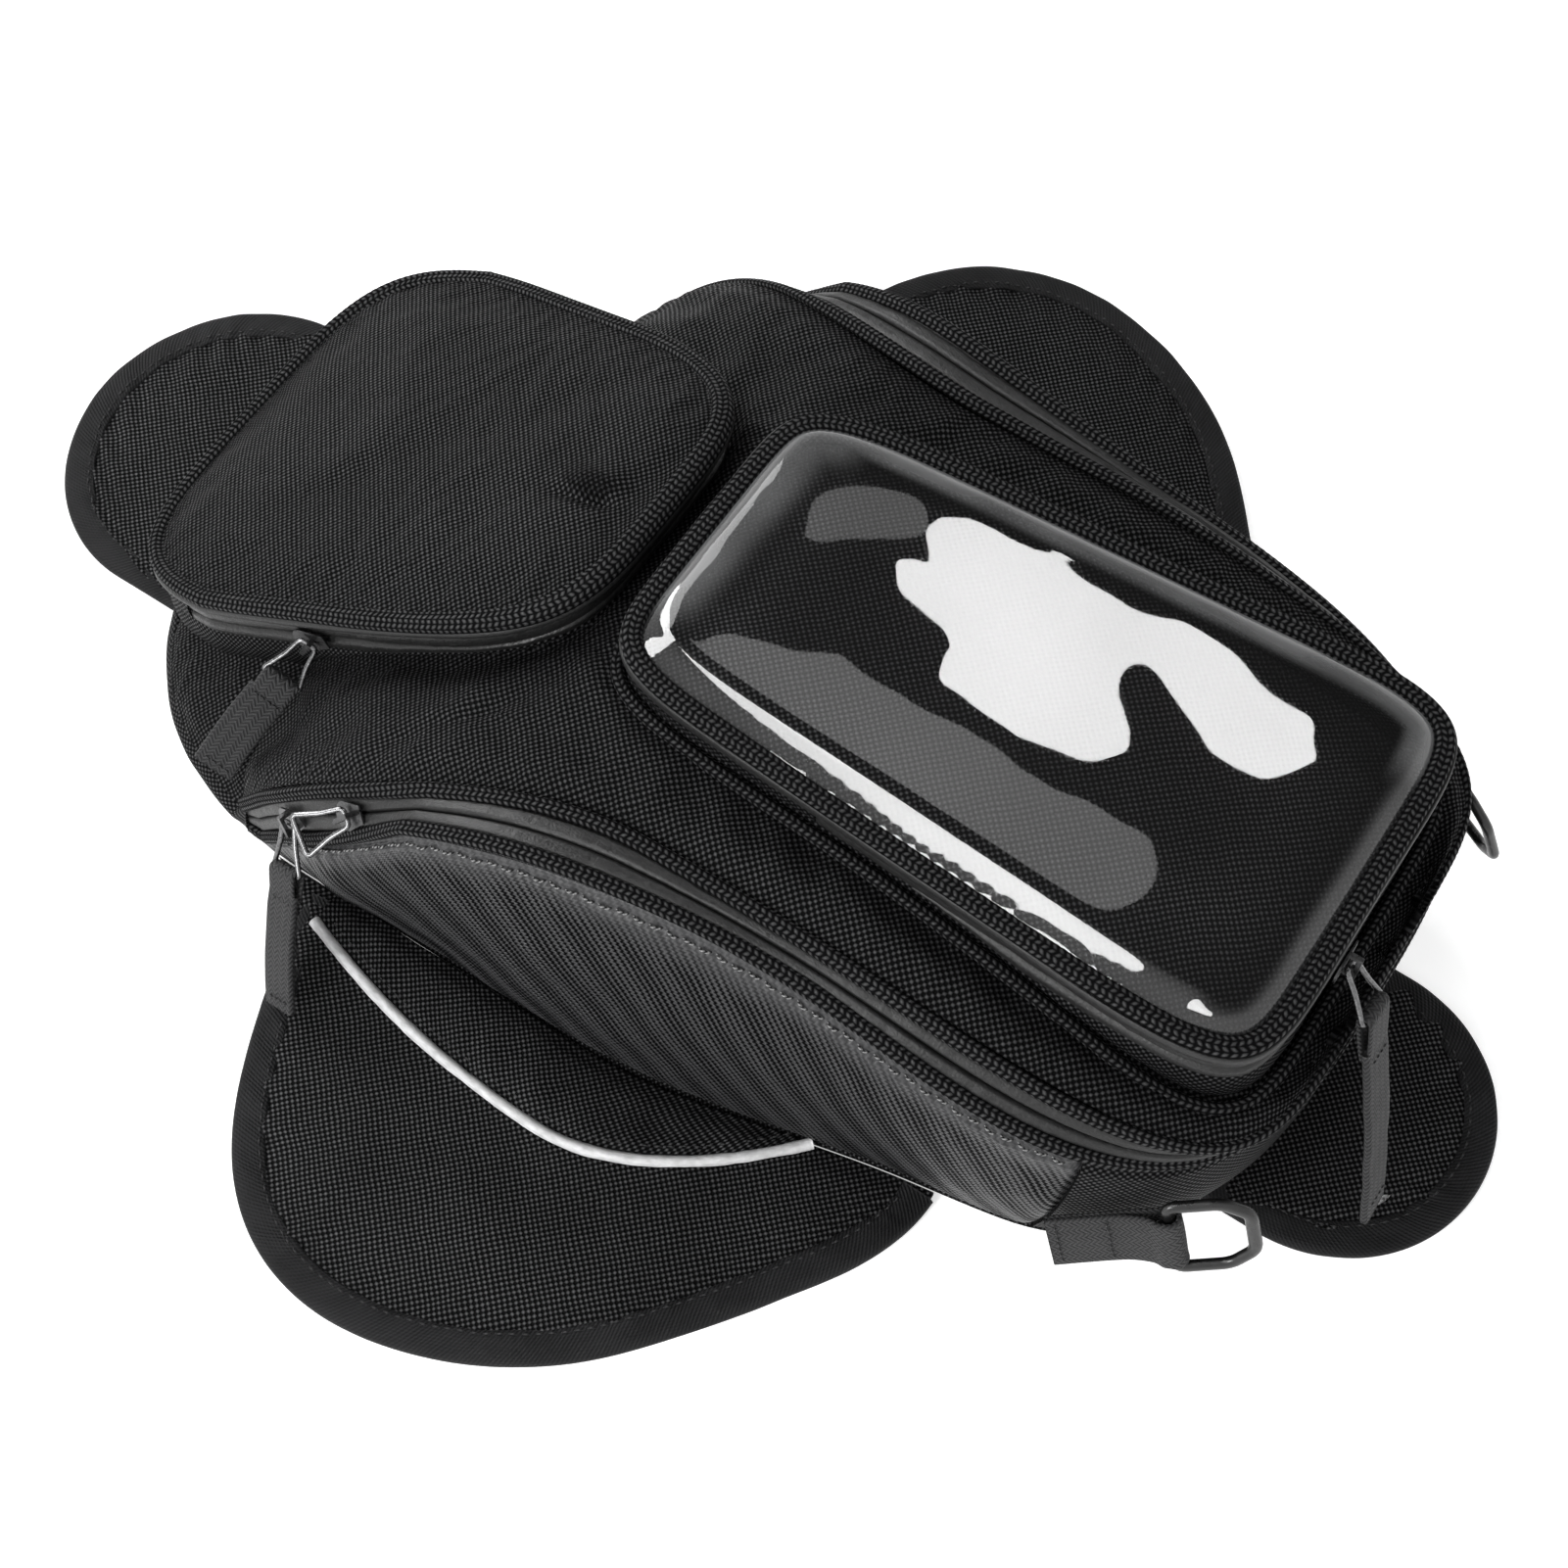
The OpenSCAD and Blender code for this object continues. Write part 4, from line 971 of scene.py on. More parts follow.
def braid(name, a0, a1, v, half_w, half_h, lift, body, slot, *replaced, f=band, lumps=0.22, pitch=2.0, shift=0.0):
    """Seam binding made of braided cord: a flat oval with two rows of strands."""
    a = dense_a(f, a0, a1, 0.55, v)
    vv = np.full(len(a), v)
    p, n, t, s = ring_frame(f, a, vv)
    l = lengths(p)
    k = 20
    th = np.linspace(0, 2 * pi, k, endpoint=False)
    x = cos(th) * half_w; z = np.sign(sin(th)) * np.abs(sin(th)) ** 0.8 * half_h
    row = np.abs(((x + half_w) / (2 * half_w) * 2) % 1 - 0.5) * 2   # 0 in the middle of a row, 1 between rows
    bumpy = lumps * (np.abs(sin(pi * (l[:, None] / pitch + 0.35 * x[None, :]))) ** 0.8 - 0.5) - 0.25 * lumps * 2 * (row[None, :] ** 3)
    ok = np.clip(sin(th), 0, 1)[None, :]
    wav = 0.35 * value_noise(p * 1.0, 25, 21)[:, None]
    X = x[None, :] + shift + 0 * bumpy
    Z = z[None, :] + lift + bumpy * (0.35 + 0.65 * ok) + wav
    S = p[:, None, :] + s[:, None, :] * X[..., None] + n[:, None, :] * Z[..., None]
    o = skin(name, S, CORD)
    return done(o, body, slot, *replaced)


braid("lower_seam_cord", ZIP_A + 0.002, 2 - ZIP_A - 0.002, 0.115, 2.3, 1.5, 0.5, "root", "binding_tape", "lower_binding")
braid("lid_seam_cord", ZIP_A + 0.002, 2 - ZIP_A - 0.002, 0.885, 2.3, 1.5, 0.7, "main_lid", "binding_tape", "lid_binding")


def zip_tape(name, v0, v1, body, coil_edge, *replaced, lift=0.0, seed=0):
    """Half of a coated zip: a soft band that rolls over at the slit."""
    a = dense_a(band, ZIP_A, 2 - ZIP_A, 1.3, 0.5)
    m = 15
    v = np.linspace(v0, v1, m)[None, :] + 0 * a[:, None]
    aa = a[:, None] + 0 * v
    P, N = band(aa, v), normal_of(band, aa, v)
    k = (v - v0) / (v1 - v0)
    e = k if coil_edge == 0 else 1 - k          # 0 at the slit
    h = 0.9 * sin(pi * np.clip(e, 0, 1)) ** 0.7 - 0.55 * exp(-(e / 0.07) ** 2) + 0.2 * exp(-((e - 0.2) / 0.12) ** 2)
    h = h - 0.8 * sm(0.8, 1.0, e)
    l = lengths(P, 0)
    cross = 0.16 * noise2(np.stack([l, v * 10, 0 * v], -1), 3.2, 31 + seed) + 0.4 * noise2(np.stack([l, v * 20, 0 * v], -1), 26, 41 + seed)
    P = P + N * (h + cross * sm(0, 0.15, e) + lift)[..., None]
    t = 0.9
    S = np.concatenate([P, (P - N * t)[:, ::-1]], 1)
    o = skin(name, S, COATED)
    done(o, body, "coated_zip_tape", *replaced)
    # the zip's coil under the slit edge
    vs = v0 if coil_edge == 0 else v1
    p, n, t_, s = ring_frame(band, a, np.full(len(a), vs))
    sg = 1 if coil_edge == 0 else -1
    ll = lengths(p)
    steps = int(ll[-1] / 2.0) * 8
    sl = np.linspace(0, ll[-1], steps)
    pc = np.stack([np.interp(sl, ll, p[:, q]) for q in range(3)], 1)
    nc = unit(np.stack([np.interp(sl, ll, n[:, q]) for q in range(3)], 1))
    sc = unit(np.stack([np.interp(sl, ll, s[:, q]) for q in range(3)], 1))
    ph = 2 * pi * sl / 2.0
    path = pc + sc * (sg * (0.5 + 0.85 * (1 - cos(ph)) * 0.5 + 0.3))[:, None] + nc * (-1.9 + 0.55 * sin(ph))[:, None]
    tt = closed_tube(tube(path, 0.32, 5, up=nc))
    o = joined(name + "_coil", [tt], COIL)
    done(o, body, "coated_zip_tape")


zip_tape("main_zip_lower_band", 0.215, 0.4985, "root", 1, "main_zip_lower_tape", seed=1)
zip_tape("main_zip_upper_band", 0.5015, 0.795, "main_lid", 0, "main_zip_upper_tape", seed=2)

# inner facing that joins the wall's top to the lower zip tape
a = dense_a(band, ZIP_A, 2 - ZIP_A, 2.0, 0.5)[:, None]
S = np.concatenate([f(a, v + 0 * a) - normal_of(f, a, v + 0 * a) * h for f, v, h in ((wall, 0.86, 3.7), (wall, 0.92, 3.3), (band, 0.06, 2.7), (band, 0.3, 1.5))], 1)
o = sheet("rim_facing", S, F_LINING)
solid(o, 0.5); apply_mods(o)
done(o, "root", "lining_fabric")

# ------------------------------------------------------------------ nose skirt


def skirt(a0, a1, n, m):
    a = np.linspace(a0, a1, n)[:, None] + np.zeros((1, m))
    v = np.linspace(0, 1, m)[None, :] + np.zeros((n, 1))
    b = p_base(a).copy(); b[..., 2] = 1.6
    u = p_up(a)
    P = b + (u - b) * v[..., None]
    nh = flat_normal(a)
    s = np.where(dot(nh[..., :2], P[..., :2] - [0, 60]) > 0, 1.0, -1.0)
    P = P + nh * (s * (1.9 * sin(pi * v) - 2.0 * (1 - v) ** 4 - 0.6 * v ** 6))[..., None]
    w = 0.9 * noise2(P, 22, 51) * sin(pi * v)
    P = P + nh * (s * w)[..., None]
    return P, nh * s[..., None]


P, N = skirt(-ZIP_A - 0.006, ZIP_A + 0.006, 170, 34)
S = np.concatenate([P, (P - N * 2.4)[:, ::-1]], 1)
o = skin("nose_skirt", S, F_SHELL)
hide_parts("nose_panel")
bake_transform(o)

# ------------------------------------------------------------------ lid


def ring_distance(x, y, half, f, r):
    """Rough distance in plan outside a rounded outline (negative inside)."""
    yc, yl = (f + r) / 2, (f - r) / 2
    w = np.maximum(half(np.clip(y, r + 0.5, f - 0.5)), 1)
    dx = np.abs(x) - w
    dy = np.abs(y - yc) - yl
    out = np.sqrt(np.maximum(dx, 0) ** 2 + np.maximum(dy, 0) ** 2)
    return np.where((dx > 0) | (dy > 0), out, np.maximum(dx, dy))


def lid_points(n, m, edge, s0=0.006, s1=0.992):
    s = np.linspace(s0, s1, n)[:, None]
    y = y_at(s, NOSE - 2, RIM_R) + np.zeros((1, m))
    t = np.linspace(-1, 1, m)[None, :] + 0 * s
    t = np.sign(t) * (1 - (1 - np.abs(t)) ** 1.08)
    w = w_up(y) - edge
    x = np.maximum(w, 1.0) * t
    return np.stack([x, y, z_lid(x, y)], -1), t


LN, LM = 176, 110
P, t = lid_points(LN, LM, 0.6)
x, y = P[..., 0], P[..., 1]
dw = ring_distance(x, y, win_half, WIN_F, -WIN_R)
dp = ring_distance(x, y, poc_half, POC_F, POC_R)
de = (w_up(y) - 0.6) * (1 - np.abs(t))
N = grid_normals(P); N = np.where(N[..., 2:3] < 0, -N, N)
pin = np.clip(np.maximum.reduce([sm(5, 1.0, de), sm(3, -2, dw) , sm(3, -2, dp), sm(NOSE - 14, NOSE - 6, y)]), 0, 1)
lid = sheet("lid_cover", P, F_LID, up=np.array([0, 0, 1.0]))
flip = np.abs(coords(lid).reshape(LN, LM, 3)[0, 0, 0] - P[0, 0, 0]) > 1e-3 if False else None
c0 = coords(lid).reshape(LN, LM, 3)
if np.linalg.norm(c0[5, 0] - P[5, 0]) > 0.5:
    pinv, dwv, dpv, dev, Nv = pin[:, ::-1], dw[:, ::-1], dp[:, ::-1], de[:, ::-1], N[:, ::-1]
else:
    pinv, dwv, dpv, dev, Nv = pin, dw, dp, de, N
simulate(lid, pinv.ravel(), cap=3.2, pressure=0.35, grow=0.012, frames=14, stiff=14, bend=0.8)
C = coords(lid).reshape(LN, LM, 3)
lx, ly = C[..., 0], C[..., 1]
free = 1 - pinv
foot = (-1.3 * exp(-np.maximum(dwv, 0) / 3.5) + 1.0 * exp(-((dwv - 13) / 8) ** 2)) * (dwv > -4) \
    + (-1.3 * exp(-np.maximum(dpv, 0) / 3.5) + 1.0 * exp(-((dpv - 13) / 8) ** 2)) * (dpv > -4)
edge_puff = 1.3 * exp(-((dev - 8) / 6) ** 2) - 0.4 * exp(-(dev / 2) ** 2)
soft = 1.5 * noise2(C, 42, 61) + 0.5 * noise2(C * [1, 0.6, 1], 15, 62)
seam = 0.30 * sin(2 * pi * ly / 8.5 + 4 * value_noise(C, 30, 63)) * exp(-dev / 9) * sm(0, 2, dev)
fold = -1.2 * exp(-((lx * 0.5 + ly - (-2 + 8 * value_noise(C, 30, 66)) - 4) / 5) ** 2) * sm(20, 45, np.abs(lx)) * sm(108, 70, np.abs(lx))
C = C + Nv * ((foot + edge_puff * sm(0, 3, dev)) * 1.0 + soft * free * sm(0, 8, dev) + seam + fold * free)[..., None]
set_coords(lid, C.reshape(-1, 3))
solid(lid, 2.2)
apply_mods(lid)
done(lid, "main_lid", "shell_fabric", "lid_top_panel")
LIDC = C


def lid_height(xq, yq):
    """Height of the finished lid cover above a plan point."""
    pts = LIDC.reshape(-1, 3)
    out = []
    for a_, b_ in zip(np.atleast_1d(xq), np.atleast_1d(yq)):
        d = (pts[:, 0] - a_) ** 2 + (pts[:, 1] - b_) ** 2
        i = np.argpartition(d, 4)[:4]
        w = 1 / (d[i] + 0.05)
        out.append((pts[i, 2] * w).sum() / w.sum())
    return np.array(out)


P, t = lid_points(90, 50, 8.0, 0.03, 0.975)
P[..., 2] -= 3.4 + 0.8 * noise2(P, 25, 71)
o = sheet("lid_inner_lining", P, F_LINING, up=np.array([0, 0, -1.0]))
solid(o, 0.7, 1.0); apply_mods(o)
done(o, "main_lid", "lining_fabric", "lid_lining")

# ------------------------------------------------------------------ rings on the lid: window pocket and front pocket


def outline(f, step, h=0.0, a0=0.0, a1=2.0, c=(0, 0)):
    """Evenly spaced points of a closed or open outline, with outward normals, inset by h."""
    closed = a1 - a0 >= 1.9999
    a = np.linspace(a0, a1, 6000, endpoint=not closed)
    q = f(a)[:, :2]
    p = even(q, step, closed=closed)
    if closed:
        d = unit(np.roll(p, -1, 0) - np.roll(p, 1, 0))
    else:
        d = tangents(p)
    n = np.stack([d[:, 1], -d[:, 0]], 1)
    if dot(n, p - np.array(c)).mean() < 0:
        n = -n
    return p - n * h, n


def way(y, f, r):
    return float(np.arccos(1 - 2 * (f - y) / (f + r)) / pi)


def up_ring(name, f, c, mat, step, prof, zf, a0=0.0, a1=2.0, h=0.0, disp=None, tilt=0.0):
    """Sweep a profile (outward, up) round an outline on the surface z = zf(x, y)."""
    p, n = outline(f, step, h, a0, a1, c)
    closed = a1 - a0 >= 1.9999
    z = zf(p[:, 0], p[:, 1])
    base = np.column_stack([p, z])
    side = np.column_stack([n, 0 * z])
    up = np.tile([0.0, 0, 1.0], (len(p), 1))
    if tilt:
        up = unit(up + np.array([0, tilt, 0.0]))
    l = np.concatenate([[0], np.cumsum(np.linalg.norm(np.diff(base, axis=0), axis=1))])
    pr = np.repeat(prof[None], len(p), 0).astype(float)
    if disp is not None:
        pr = disp(pr, l, base)
    S = sweep(base, side, up, pr)
    return skin(name, S, mat, closed), base, side


def oval(w, h, k=18, p=0.8):
    th = np.linspace(0, 2 * pi, k, endpoint=False)
    return np.stack([np.sign(cos(th)) * np.abs(cos(th)) ** p * w, np.sign(sin(th)) * np.abs(sin(th)) ** p * h], 1)


def lumpy(lumps, pitch, rows, w, seed):
    def f(pr, l, base):
        L = l[:, None]
        x = pr[..., 0]
        row = np.abs(((x + w) / (2 * w) * rows) % 1 - 0.5) * 2
        k = lumps * (np.abs(sin(pi * (L / pitch + 0.35 * x))) ** 0.8 - 0.5) - 0.5 * lumps * row ** 3
        top = np.clip(pr[..., 1] / (np.abs(pr[..., 1]).max() + 1e-6), 0, 1)
        pr[..., 1] += k * top + 0.4 * value_noise(base, 28, seed)[:, None]
        pr[..., 0] += 0.35 * value_noise(base, 33, seed + 5)[:, None]
        return pr
    return f


# window pocket
zw = lambda dz: (lambda x, y: np.full(np.shape(x), WIN_Z + dz))
win_fold = way(WIN_FOLD, WIN_F, WIN_R)
C0 = (0, -90)


def fold_blend(o):
    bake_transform(o)


o, ring_base, ring_side = up_ring("window_frame_cord", p_win, C0, CORD, 0.6, oval(2.9, 1.9, 20), zw(0.2), h=3.1, disp=lumpy(0.25, 2.0, 2, 3.3, 81))
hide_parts("window_frame", "window_frame_front"); fold_blend(o)
# a coated strip turned down over the frame's outside edge
prof = np.array([[0.9, 0.6], [1.3, 0.2], [1.45, -1.2], [1.35, -2.6], [1.0, -3.3], [0.2, -3.3], [0.2, -2.0], [0.2, 0.0]])
o, _, _ = up_ring("window_frame_edge", p_win, C0, COATED, 1.2, prof, zw(-0.9), h=1.0,
                  disp=lambda pr, l, b: pr + 0.35 * np.stack([value_noise(b, 30, 83), 0 * l], -1)[:, None, :])
fold_blend(o)


def band_upright(name, f, c, h, zt, zb, mat, a0, a1, bulge, body, slot, *replaced, step=1.4, m=11, seed=0, t=0.9, slit=0):
    """An upright soft band between two heights round an outline. slit: 1 rolls at the top edge, -1 at the bottom."""
    p, n = outline(f, step, h, a0, a1, c)
    closed = a1 - a0 >= 1.9999
    k = np.linspace(0, 1, m)[None, :]
    top, bot = zt(p[:, 0], p[:, 1])[:, None], zb(p[:, 0], p[:, 1])[:, None]
    z = bot + (top - bot) * k
    hgt = np.maximum(top - bot, 0.1)
    prof = bulge * sin(pi * k) ** 0.8 * np.minimum(1, hgt / 5) + 0 * z
    if slit:
        e = (1 - k) if slit == 1 else k
        prof = prof - 0.55 * exp(-(e / 0.1) ** 2) + 0.2 * exp(-((e - 0.25) / 0.12) ** 2)
    pts = np.stack([p[:, 0:1] + 0 * z, p[:, 1:2] + 0 * z, z], -1)
    nn = np.stack([n[:, 0:1] + 0 * z, n[:, 1:2] + 0 * z, 0 * z], -1)
    l = np.concatenate([[0], np.cumsum(np.linalg.norm(np.diff(p, axis=0), axis=1))])[:, None] + 0 * z
    prof = prof + 0.18 * noise2(np.stack([l, z * 0.3, 0 * z], -1), 3.4, 91 + seed) + 0.45 * noise2(np.stack([l, z * 0.5, 0 * z], -1), 24, 95 + seed)
    P = pts + nn * prof[..., None]
    S = np.concatenate([P, (P - nn * t)[:, ::-1]], 1)
    o = skin(name, S, mat, closed)
    return done(o, body, slot, *replaced)


lz = lambda dz: (lambda x, y: z_lid(x, y) + dz)
zc = lambda z: (lambda x, y: np.full(np.shape(x), float(z)))
band_upright("window_pocket_wall", p_win, C0, 1.9, lambda x, y: np.maximum(z_lid(x, y) + 3.0, 106.6), lz(-0.6), F_SHELL, 0, 2, 1.2, "main_lid", "shell_fabric", "window_gusset", seed=1, t=1.0)
band_upright("window_zip_lower_band", p_win, C0, 1.9, zc(111.9), lambda x, y: np.maximum(z_lid(x, y) + 1.0, 106.2), COATED, win_fold, 2 - win_fold, 1.1, "main_lid", "coated_zip_tape", "window_zip_lower_tape", seed=2, slit=1)
band_upright("window_zip_upper_band", p_win, C0, 1.9, zc(118.2), zc(112.25), COATED, win_fold + 0.002, 2 - win_fold - 0.002, 1.1, "window_lid", "coated_zip_tape", "window_zip_upper_tape", seed=3, slit=-1)
band_upright("window_fixed_wall", p_win, C0, 1.9, zc(118.6), lambda x, y: np.maximum(z_lid(x, y) + 1.0, 106.0), F_SHELL, -win_fold, win_fold, 1.3, "main_lid", "shell_fabric", seed=4)
# cord round the foot of the pocket
o, _, _ = up_ring("window_foot_cord", p_win, C0, CORD, 0.7, oval(1.9, 1.5, 14), lz(0.6), h=-1.6, disp=lumpy(0.2, 2.0, 1, 1.9, 85))
done(o, "main_lid", "binding_tape")
# points round the frame, 6.6 mm in from its outline; no stitches are made from them
p, n = outline(p_win, 1.5, 6.6, 0, 2, C0)

# the clear window: one formed sheet, domed, with a rounded drop at its edge


def pane_grid(n, m):
    """Polar-square grid over the window: x from -1..1 across, y along."""
    y = np.linspace(WIN_F - 5.2, -WIN_R + 5.2, n)[:, None]
    k = np.stack([win_half(np.clip(y + 5.2 * sin(q), -WIN_R, WIN_F)) - 5.2 * cos(q) for q in np.radians(np.arange(-90, 91, 10))]).min(0)
    t = np.linspace(-1, 1, m)[None, :]
    t = np.sign(t) * (1 - (1 - np.abs(t)) ** 1.15)
    return np.stack([k * t, y + 0 * t, 0 * y + 0 * t], -1)


def spread(n):
    s = np.linspace(0, 1, n)
    return s


ny, nx = 240, 150
yy = WIN_F - 5.2 - (WIN_F + WIN_R - 10.4) * (1 - cos(pi * np.linspace(0, 1, ny))) / 2 * 0.35 - (WIN_F + WIN_R - 10.4) * np.linspace(0, 1, ny) * 0.65
yy = yy[:, None]
kk = np.stack([win_half(np.clip(yy + 5.2 * sin(q), -WIN_R, WIN_F)) - 5.2 * cos(q) for q in np.radians(np.arange(-90, 91, 10))]).min(0)
tt = np.linspace(-1, 1, nx)[None, :]
tt = np.sign(tt) * (1 - (1 - np.abs(tt)) ** 1.2)
X, Y = kk * tt, yy + 0 * tt
# distance to the pane's edge, measured in plan
edge_p, edge_n = outline(p_win, 0.3, 5.2, 0, 2, C0)


def edge_dist(X, Y, ep):
    d = np.full(X.shape, 1e9)
    for q in ep:
        d = np.minimum(d, (X - q[0]) ** 2 + (Y - q[1]) ** 2)
    return np.sqrt(d)


ed = edge_dist(X, Y, edge_p)


def poly_dist(X, Y, poly):
    """Signed distance to a closed polygon, negative inside."""
    poly = np.asarray(poly, float)
    d = np.full(X.shape, 1e9); inside = np.zeros(X.shape, bool)
    for a_, b_ in zip(poly, np.roll(poly, -1, 0)):
        e = b_ - a_
        w0, w1 = X - a_[0], Y - a_[1]
        t_ = np.clip((w0 * e[0] + w1 * e[1]) / (e @ e), 0, 1)
        d = np.minimum(d, (w0 - e[0] * t_) ** 2 + (w1 - e[1] * t_) ** 2)
        cnd = ((a_[1] > Y) != (b_[1] > Y)) & (X < (b_[0] - a_[0]) * (Y - a_[1]) / (b_[1] - a_[1] + 1e-12) + a_[0])
        inside ^= cnd
    return np.where(inside, -1, 1) * np.sqrt(d)


FILM_Z = 127.0
rise = 1 - sqrt(np.clip(1 - (1 - np.minimum(ed / 10.0, 1)) ** 2.2, 0, 1))
left = sm(-22, -38, X) * sm(-178, -166, Y)
fall = 0.53 * 0.55 * np.logaddexp(0, (8.8 - ed) / 0.55)
Zp = FILM_Z - mix(6.2 * rise, fall, left) + 0.025 * noise2(np.stack([X, Y, 0 * X], -1), 24, 101) * sm(6, 16, ed) * (1 - left)
Zp = Zp + (0.35 * noise2(np.stack([X, Y, 0 * X], -1), 19, 104)) * exp(-((ed - 5) / 3.5) ** 2) * (1 - left)
Pn = np.stack([X, Y, Zp], -1)
pane = sheet("window_film", Pn, FILM, up=np.array([0, 0, 1.0]))
milk = pane.data.attributes.new("milk", "FLOAT", "POINT")
cc = coords(pane)
mke = edge_dist(cc[:, 0], cc[:, 1], edge_p)
mk = np.maximum(0.2 * sm(8.0, 4.0, mke), np.maximum(sm(-16, -4, cc[:, 1] + 0.12 * cc[:, 0]) * sm(19, 8, mke) * sm(-36, -24, cc[:, 0]), sm(26, 40, cc[:, 0]) * sm(10.5, 6.5, mke))) * (0.8 + 0.2 * value_noise(cc, 14, 103))
milk.data.foreach_set("value", mk.astype(np.float32))
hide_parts("window_pane", "window_pane_front"); fold_blend(pane)

# the pocket floor under the film
yy2 = np.linspace(WIN_F - 2.5, -WIN_R + 2.5, 130)[:, None]
kk2 = np.stack([win_half(np.clip(yy2 + 2.4 * sin(q), -WIN_R, WIN_F)) - 2.4 * cos(q) for q in np.radians(np.arange(-90, 91, 15))]).min(0)
tt2 = np.linspace(-1, 1, 84)[None, :]
X2, Y2 = kk2 * tt2, yy2 + 0 * tt2
ed2 = edge_dist(X2, Y2, outline(p_win, 3.0, 2.4, 0, 2, C0)[0])
Z2 = z_lid(X2, Y2) + 1.6 + 1.3 * sm(0, 18, ed2) + 0.9 * noise2(np.stack([X2, Y2, 0 * X2], -1), 30, 105)
F_POCKET = fabric("pocket_floor_weave", p=1.05, light=(0.11, 0.11, 0.113))
o = sheet("window_pocket_floor", np.stack([X2, Y2, Z2], -1), F_POCKET, up=np.array([0, 0, 1.0]))
solid(o, 0.8); apply_mods(o)
done(o, "main_lid", "shell_fabric")

# ------------------------------------------------------------------ front pocket

CP = (0, 102)
ny, nx = 130, 118
ins = 3.4
yy = np.linspace(POC_F - ins, POC_R + ins, ny)[:, None]
kk = np.stack([poc_half(np.clip(yy + ins * sin(q), POC_R, POC_F)) - ins * cos(q) for q in np.radians(np.arange(-90, 91, 10))]).min(0)
tt = np.linspace(-1, 1, nx)[None, :]
X, Y = kk * tt, yy + 0 * tt
poc_edge, poc_n = outline(p_poc, 2.0, ins, 0, 2, CP)
ed = edge_dist(X, Y, poc_edge)
crown = 5.0 * (1 - exp(-ed / 13.0)) + 1.2 * sm(10, 60, ed)
Pn = np.stack([X, Y, z_poc(Y) + 0.2 + crown], -1)
cover = sheet("front_pocket_cover", Pn, F_COVER, up=np.array([0, 0, 1.0]))
cc = coords(cover)
edc = edge_dist(cc[:, 0], cc[:, 1], poc_edge)
simulate(cover, sm(4.0, 0.6, edc), cap=3.5, pressure=0.5, grow=0.004, frames=14, stiff=14, bend=0.8)
C = coords(cover)
edc = edge_dist(C[:, 0], C[:, 1], poc_edge)
n_up = unit(np.array([0, 0.447, 0.894]))
# gathers where the cover is eased into the seam near its rear right corner
g0 = np.array([-6.4, 39.0])
rel = C[:, :2] - g0
al, ac = rel[:, 1], rel[:, 0] + 0.05 * rel[:, 1]
gather = (-2.4 * exp(-((ac + 0.4) / 1.9) ** 2) * sm(24, 4, al) + 1.7 * exp(-((ac - 6.5) / 4.6) ** 2) * sm(26, 6, al) + 0.5 * exp(-((ac + 7.0) / 4.0) ** 2) * sm(30, 5, al)) * sm(-6, 2, al)
ang = np.arctan2(C[:, 1] - 102, C[:, 0])
pucker = 0.32 * sin(ang * 58 + 5 * value_noise(C, 26, 111)) * exp(-edc / 7.0) * sm(0.2, 2.0, edc)
soft = 1.1 * noise2(C, 38, 112) + 0.35 * noise2(C, 14, 113)
diag = -0.9 * exp(-(((C[:, 0] + 20) * 0.72 + (C[:, 1] - 120) * 0.69) / 7) ** 2) * sm(75, 20, np.abs(C[:, 0])) * 0.6
C = C + n_up * ((gather * sm(0.4, 2.6, edc) + pucker + (soft + diag) * sm(0, 14, edc)))[:, None]
set_coords(cover, C)
solid(cover, 1.6); apply_mods(cover)
done(cover, "pocket_lid", "shell_fabric", "front_pocket_top")

zp = lambda dz: (lambda x, y: z_poc(y) + dz)
poc_way = way(150, POC_F, -POC_R)
o, _, _ = up_ring("front_pocket_cord", p_poc, CP, CORD, 0.6, oval(3.0, 2.2, 20), zp(-0.6), h=2.9, disp=lumpy(0.3, 2.1, 2, 3.0, 121), tilt=0.45)
done(o, "pocket_lid", "binding_tape", "front_pocket_binding")
o, _, _ = up_ring("front_pocket_piping", p_poc, CP, COATED, 1.0, oval(1.5, 1.5, 12, 1.0), zp(-3.9), h=1.3, disp=lumpy(0.06, 3.0, 1, 1.5, 122), tilt=0.45)
done(o, "pocket_lid", "binding_tape")
PUGLOSS = coated_material("coated_gloss_tape", 0.008, 0.34)
band_upright("front_pocket_zip_upper", p_poc, CP, 2.6, zp(-5.2), zp(-11.95), PUGLOSS, poc_way + 0.002, 2 - poc_way - 0.002, 1.2, "pocket_lid", "coated_zip_tape", "pocket_zip_upper_tape", seed=6, slit=-1)
band_upright("front_pocket_zip_lower", p_poc, CP, 2.6, zp(-12.25), lambda x, y: np.maximum(z_lid(x, y) + 0.6, z_poc(y) - 18.6), PUGLOSS, poc_way, 2 - poc_way, 1.1, "main_lid", "coated_zip_tape", "pocket_zip_lower_tape", seed=7, slit=1)
band_upright("front_pocket_wall", p_poc, CP, 2.7, lambda x, y: np.maximum(z_lid(x, y) + 2.2, z_poc(y) - 17.6), lz(-0.8), F_SHELL, 0, 2, 1.4, "main_lid", "shell_fabric", "front_pocket_gusset", seed=8, t=1.2)
o = band_upright("front_pocket_nose_wall", p_poc, CP, 2.6, zp(-4.6), lambda x, y: np.maximum(z_lid(x, y) + 0.6, z_poc(y) - 18.6), F_SHELL, -poc_way, poc_way, 1.4, "main_lid", "shell_fabric", seed=9, t=1.0)

# ------------------------------------------------------------------ flaps

FC = np.array([100.0, -22.0])


def flap_height(x, y, seed):
    p = np.stack([x, y, 0 * x], -1)
    return 1.8 * noise2(p, 46, seed) + 0.7 * noise2(p, 19, seed + 1)


